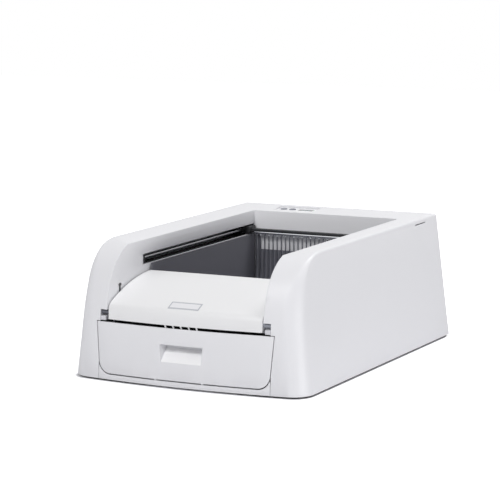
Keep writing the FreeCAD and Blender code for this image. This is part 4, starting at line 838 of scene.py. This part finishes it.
@dataclass
class Controls:
    """Button marks, display digits and lamp on the rear panel."""

    mark: float = 0.12
    sunk: float = 0.02
    ring: tuple[float, float] = (2.6, 3.4)
    bar: tuple[float, float] = (5.6, 0.8)
    bar_pitch: float = 2.0
    digit: tuple[float, float] = (6.0, 10.0)
    digit_pitch: float = 10.0
    digit_raised: float = 0.06
    stroke: float = 1.1
    lamp_inset: float = 6.0
    lamp_radii: tuple[float, float] = (1.4, 1.1)
    lamp_height: float = 0.5
    lamp_sunk: float = 0.1

    def build(self) -> None:
        """Add marks to the buttons, digits to the window and a lamp to the panel."""
        self.build_marks()
        self.build_digits()
        high = span("control_panel")[1]
        place = (high.x - self.lamp_inset, centre("control_panel").y, high.z - self.lamp_sunk)
        lamp = Mesh()
        lamp.disc(place, self.lamp_radii[0], self.lamp_height, sides=24, top=self.lamp_radii[1])
        lamp.finish("status_lamp", "root", LED_GREEN, "white_plastic")

    def build_marks(self) -> None:
        """Print a ring on one button and three bars on the other."""
        inner, outer = self.ring
        middle, top = centre("clean_button"), span("clean_button")[1].z
        ring = Mesh()
        ring.spin([(inner, 0.0), (inner, self.mark), (outer, self.mark), (outer, 0.0)],
                  (middle.x, middle.y, top - self.sunk))
        ring.finish("clean_button_mark", "clean_key", PRINT_GREY, "grey_plastic")
        middle, top = centre("mode_button"), span("mode_button")[1].z
        half_x, half_y = self.bar[0] / 2, self.bar[1] / 2
        bars = Mesh()
        for step in (-1, 0, 1):
            y = middle.y + step * self.bar_pitch
            bars.block((middle.x - half_x, y - half_y, top - self.sunk),
                       (middle.x + half_x, y + half_y, top + self.mark))
        bars.finish("mode_button_mark", "mode_key", PRINT_GREY, "grey_plastic")

    def build_digits(self) -> None:
        """Lay two seven-segment digits on the window."""
        middle, top = centre("display_window"), span("display_window")[1].z
        w, h = self.digit
        t = self.stroke
        bars = {"a": ((-w / 2, h / 2 - t), (w / 2, h / 2)), "d": ((-w / 2, -h / 2), (w / 2, t - h / 2)),
                "g": ((-w / 2, -t / 2), (w / 2, t / 2)), "b": ((w / 2 - t, 0), (w / 2, h / 2)),
                "c": ((w / 2 - t, -h / 2), (w / 2, 0)), "e": ((-w / 2, -h / 2), (t - w / 2, 0)),
                "f": ((-w / 2, 0), (t - w / 2, h / 2))}
        piece = Mesh()
        for side, lit in ((-0.5, "abcdef"), (0.5, "abged")):
            x = middle.x + side * self.digit_pitch
            for key in lit:
                (x0, y0), (x1, y1) = bars[key]
                piece.block((x + x0, middle.y + y0, top - self.sunk),
                            (x + x1, middle.y + y1, top + self.digit_raised))
        piece.finish("display_digits", "root", DIGIT, "window_glass")


@dataclass
class MotorDetails:
    """End cap, seam rings and terminals of the gearmotor."""

    terminal: tuple[float, float, float] = (4.0, 0.5, 3.0)
    terminal_shift: float = 6.0
    terminal_rise: float = 1.5
    hub: float = 4.0
    cap_height: float = 2.0
    cap_inset: float = 3.0
    bevel: float = 1.0
    seams: tuple[float, float] = (5.0, 24.5)
    seam_width: float = 1.6
    seam_edge: float = 0.3
    seam_sunk: float = 0.1

    def build(self) -> None:
        """Add the details within the drive bay."""
        low, high = span("gearmotor")
        _, y, z = centre("gearmotor")
        radius = (high.z - low.z) / 2
        rim = radius - self.cap_inset
        cap = Mesh()
        cap.spin([(AXIS_GAP, 0.0), (self.hub, 0.0), (self.hub, self.cap_height),
                  (rim - self.bevel, self.cap_height), (rim, self.bevel), (rim, -self.bevel)],
                 (high.x, y, z), axis="x")
        cap.finish("motor_end_cap", "root", BLACK_ABS, "dark_plastic")
        foot, crest = radius - self.seam_sunk, radius + self.seam_edge
        rings = Mesh()
        for shift in self.seams:
            rings.spin([(foot, 0.0), (crest, self.seam_edge), (crest, self.seam_width - self.seam_edge),
                        (foot, self.seam_width)], (low.x + shift, y, z), axis="x")
        rings.finish("gearbox_seam_rings", "root", ZINC, "motor_can")
        long, thick, wide = self.terminal
        x = high.x + self.terminal_rise
        pins = Mesh()
        for side in (-1, 1):
            at = y + side * self.terminal_shift
            pins.block((x, at - wide / 2, z - thick / 2), (x + long, at + wide / 2, z + thick / 2))
        pins.finish("motor_terminals", "root", BRONZE, "bush_brass")


@dataclass
class InletPin:
    """Contact pin in the middle of the power inlet."""

    radius: float = 1.0
    tip_radius: float = 0.8
    length: float = 8.0
    depth: float = 9.2

    def build(self) -> None:
        """Stand the pin on the inlet's bottom."""
        middle = centre("power_inlet")
        foot = (middle.x, span("power_inlet")[1].y - self.depth, middle.z)
        pin = Mesh()
        pin.disc(foot, self.radius, self.length, axis="y", sides=20, top=self.tip_radius)
        pin.finish("inlet_pin", "root", ZINC, "screw_steel")


@dataclass
class SensorDetails:
    """Chips on the sensor boards."""

    chip: tuple[float, float, float] = (1.2, 5.0, 4.0)
    shift: float = 4.5

    def build(self) -> None:
        """Add two chips to each board."""
        high = span("sensor_boards")[1]
        middle = centre("sensor_boards")
        thick, wide, tall = self.chip
        chips = Mesh()
        for side in (-1, 1):
            reach = both_ways(side, high.x, high.x + thick)
            for step in (-1, 1):
                z = middle.z + step * self.shift
                chips.block((reach[0], middle.y - wide / 2, z - tall / 2),
                            (reach[1], middle.y + wide / 2, z + tall / 2))
        chips.finish("sensor_chips", "root", BLACK_ABS, "dark_plastic")


@dataclass
class FillLine:
    """Raised line inside the tub that shows how far to fill it."""

    rise: float = 45.0
    raised: float = 0.5
    sunk: float = 0.2
    height: float = 1.2
    end_gap: float = 20.0
    wall: float = 2.5

    def build(self) -> None:
        """Run the line along both side walls."""
        low, high = span("litter_tub")
        z = low.z + self.rise
        inner = high.x - self.wall
        line = Mesh()
        for side in (-1, 1):
            reach = both_ways(side, inner - self.raised, inner + self.sunk)
            line.block((reach[0], low.y + self.end_gap, z), (reach[1], high.y - self.end_gap, z + self.height))
        line.finish("tub_fill_line", "root", CHARCOAL, "charcoal_plastic")


@dataclass
class Studio:
    """Camera, floor, world and lamps."""

    place: tuple[float, float, float] = (1.9284, -3.7418, 0.8619)
    azimuth_deg: float = 27.6752
    elevation_deg: float = 8.8114
    roll_deg: float = -0.5044
    lens_mm: float = 157.7492
    ambient: float = 0.28
    footprint: tuple[float, float] = (0.245, 0.345)
    corner: float = 0.03
    bow: float = 0.32
    glow_near: float = 0.6
    glow_far: float = 0.9
    ramp_near: float = 0.005
    ramp_far: float = 0.3
    floor_size: float = 6.0
    aim: tuple[float, float, float] = (0.0, 0.0, 0.12)
    lamps: list[tuple[str, tuple[float, float, float], tuple[float, float], float]] = field(
        default_factory=lambda: [
            ("key", (-0.2, -2.9, 2.5), (1.1, 1.1), 58.0),
            ("fill", (3.2, -0.7, 0.3), (2.0, 0.5), 28.0),
            ("top", (0.5, 0.9, 2.3), (1.0, 1.0), 27.0),
        ])

    def set_camera(self) -> None:
        """Put the camera where the photograph was taken from."""
        az, el, roll = (math.radians(v) for v in (self.azimuth_deg, self.elevation_deg, self.roll_deg))
        back = Vector((math.sin(az) * math.cos(el), -math.cos(az) * math.cos(el), math.sin(el)))
        right = (-back).cross(Vector((0, 0, 1))).normalized()
        up = right.cross(-back).normalized()
        tilted = right * math.cos(roll) + up * math.sin(roll)
        raised = up * math.cos(roll) - right * math.sin(roll)
        data = bpy.data.cameras.new("photo_camera")
        data.lens = self.lens_mm
        data.sensor_width = 36.0
        data.sensor_fit = "HORIZONTAL"
        camera = bpy.data.objects.new("photo_camera", data)
        turn = Matrix((tilted, raised, back)).transposed().to_4x4()
        camera.matrix_world = Matrix.Translation(self.place) @ turn
        bpy.context.scene.collection.objects.link(camera)
        bpy.context.scene.camera = camera

    def set_world(self) -> None:
        """Light the object evenly and show white behind it."""
        world = bpy.data.worlds.new("studio_world")
        bpy.context.scene.world = world
        world.use_nodes = True
        tree = world.node_tree
        tree.nodes.clear()
        ray = add_node(tree, "ShaderNodeLightPath")
        seen = ray.outputs["Is Camera Ray"]
        for other in ("Is Glossy Ray", "Is Transmission Ray"):
            seen = add_node(tree, "ShaderNodeMath", {0: seen, 1: ray.outputs[other]},
                            operation="MAXIMUM").outputs[0]
        dim = add_node(tree, "ShaderNodeBackground", {"Color": linear("F7F7F9"), "Strength": self.ambient})
        white = add_node(tree, "ShaderNodeBackground", {"Color": (1, 1, 1, 1), "Strength": 1.0})
        both = add_node(tree, "ShaderNodeMixShader", {0: seen, 1: dim.outputs[0], 2: white.outputs[0]})
        add_node(tree, "ShaderNodeOutputWorld", {"Surface": both.outputs[0]})

    def lay_floor(self) -> None:
        """Lay a pale floor that keeps the object's shadow and is white away from it; its glow fades out at the
        object's outline, painted shade round the base.
        """
        piece = bmesh.new()
        bmesh.ops.create_grid(piece, x_segments=1, y_segments=1, size=self.floor_size)
        data = bpy.data.meshes.new("studio_floor")
        piece.to_mesh(data)
        piece.free()
        floor = bpy.data.objects.new("studio_floor", data)
        bpy.context.scene.collection.objects.link(floor)
        material = bpy.data.materials.new("studio_paper")
        material.use_nodes = True
        tree = material.node_tree
        tree.nodes.clear()
        paper = add_node(tree, "ShaderNodeBsdfDiffuse", {"Color": linear("F2F2F4")})
        ray = add_node(tree, "ShaderNodeLightPath")
        glow = add_node(tree, "ShaderNodeMath", {0: ray.outputs["Is Camera Ray"], 1: self.clear_of_box(tree)},
                        operation="MULTIPLY")
        lift = add_node(tree, "ShaderNodeEmission", {"Color": (1, 1, 1, 1), "Strength": glow.outputs[0]})
        both = add_node(tree, "ShaderNodeAddShader", {0: paper.outputs[0], 1: lift.outputs[0]})
        add_node(tree, "ShaderNodeOutputMaterial", {"Surface": both.outputs[0]})
        data.materials.append(material)

    def clear_of_box(self, tree: bpy.types.NodeTree) -> Any:
        """Return a socket that is 0 under the object and rises with the distance from its outline: the low glow
        near the outline is painted shade.
        """
        spot = add_node(tree, "ShaderNodeTexCoord").outputs["Object"]
        parts = add_node(tree, "ShaderNodeSeparateXYZ", {0: spot})
        square = add_node(tree, "ShaderNodeMath", {0: parts.outputs[0], 1: 2.0}, operation="POWER")
        ahead = add_node(tree, "ShaderNodeMath", {0: parts.outputs[1], 1: 0.0}, operation="LESS_THAN")
        bow = add_node(tree, "ShaderNodeMath", {0: square.outputs[0], 1: ahead.outputs[0]},
                       operation="MULTIPLY")
        level = add_node(tree, "ShaderNodeMath", {0: bow.outputs[0], 1: -self.bow, 2: parts.outputs[1]},
                         operation="MULTIPLY_ADD")
        flat = add_node(tree, "ShaderNodeCombineXYZ", {0: parts.outputs[0], 1: level.outputs[0]})
        size = (self.footprint[0] - self.corner, self.footprint[1] - self.corner, 1.0)
        fold = add_node(tree, "ShaderNodeVectorMath", {0: flat.outputs[0]}, operation="ABSOLUTE")
        past = add_node(tree, "ShaderNodeVectorMath", {0: fold.outputs[0], 1: size}, operation="SUBTRACT")
        kept = add_node(tree, "ShaderNodeVectorMath", {0: past.outputs[0], 1: (0, 0, 0)}, operation="MAXIMUM")
        away = add_node(tree, "ShaderNodeVectorMath", {0: kept.outputs[0]}, operation="LENGTH")
        near, far = (add_node(tree, "ShaderNodeMapRange", {
            "Value": away.outputs[1], "From Min": self.corner, "From Max": self.corner + ramp,
            "To Min": 0.0, "To Max": glow}).outputs[0]
            for ramp, glow in ((self.ramp_near, self.glow_near),
                               (self.ramp_far, self.glow_far - self.glow_near)))
        return add_node(tree, "ShaderNodeMath", {0: near, 1: far}, operation="ADD").outputs[0]

    def hang_lamps(self) -> None:
        """Hang the soft lamps, each aimed at the object."""
        for name, spot, size, power in self.lamps:
            data = bpy.data.lights.new(name, "AREA")
            data.shape = "RECTANGLE"
            data.size, data.size_y = size
            data.energy = power
            lamp = bpy.data.objects.new(name, data)
            lamp.location = spot
            aim = Vector(self.aim) - Vector(spot)
            lamp.rotation_euler = aim.to_track_quat("-Z", "Y").to_euler()
            bpy.context.scene.collection.objects.link(lamp)

    def build(self) -> None:
        """Set up everything round the object."""
        bpy.context.scene.view_settings.view_transform = "Standard"
        self.set_world()
        self.lay_floor()
        self.hang_lamps()


def main() -> None:
    """Build the scene in order."""
    logging.basicConfig(level=logging.INFO, format="%(name)s %(message)s", force=True)
    studio = Studio()
    studio.set_camera()
    CarriedNodes().dress()
    Badge().build()
    GapShadeStrips().build()
    GripLightPad().build()
    EyeBezels().build()
    CombBead().build()
    ToothedBelts().build()
    SkirtShadeLip().build()
    Feet().build()
    CrossScrews().build("base_screws", rows=4)
    CrossScrews(head=2.5, shank=1.2, head_height=1.6, cross=2.6).build("board_screws", rows=2)
    Controls().build()
    MotorDetails().build()
    InletPin().build()
    SensorDetails().build()
    FillLine().build()
    studio.build()


if __name__ == "__main__":
    main()
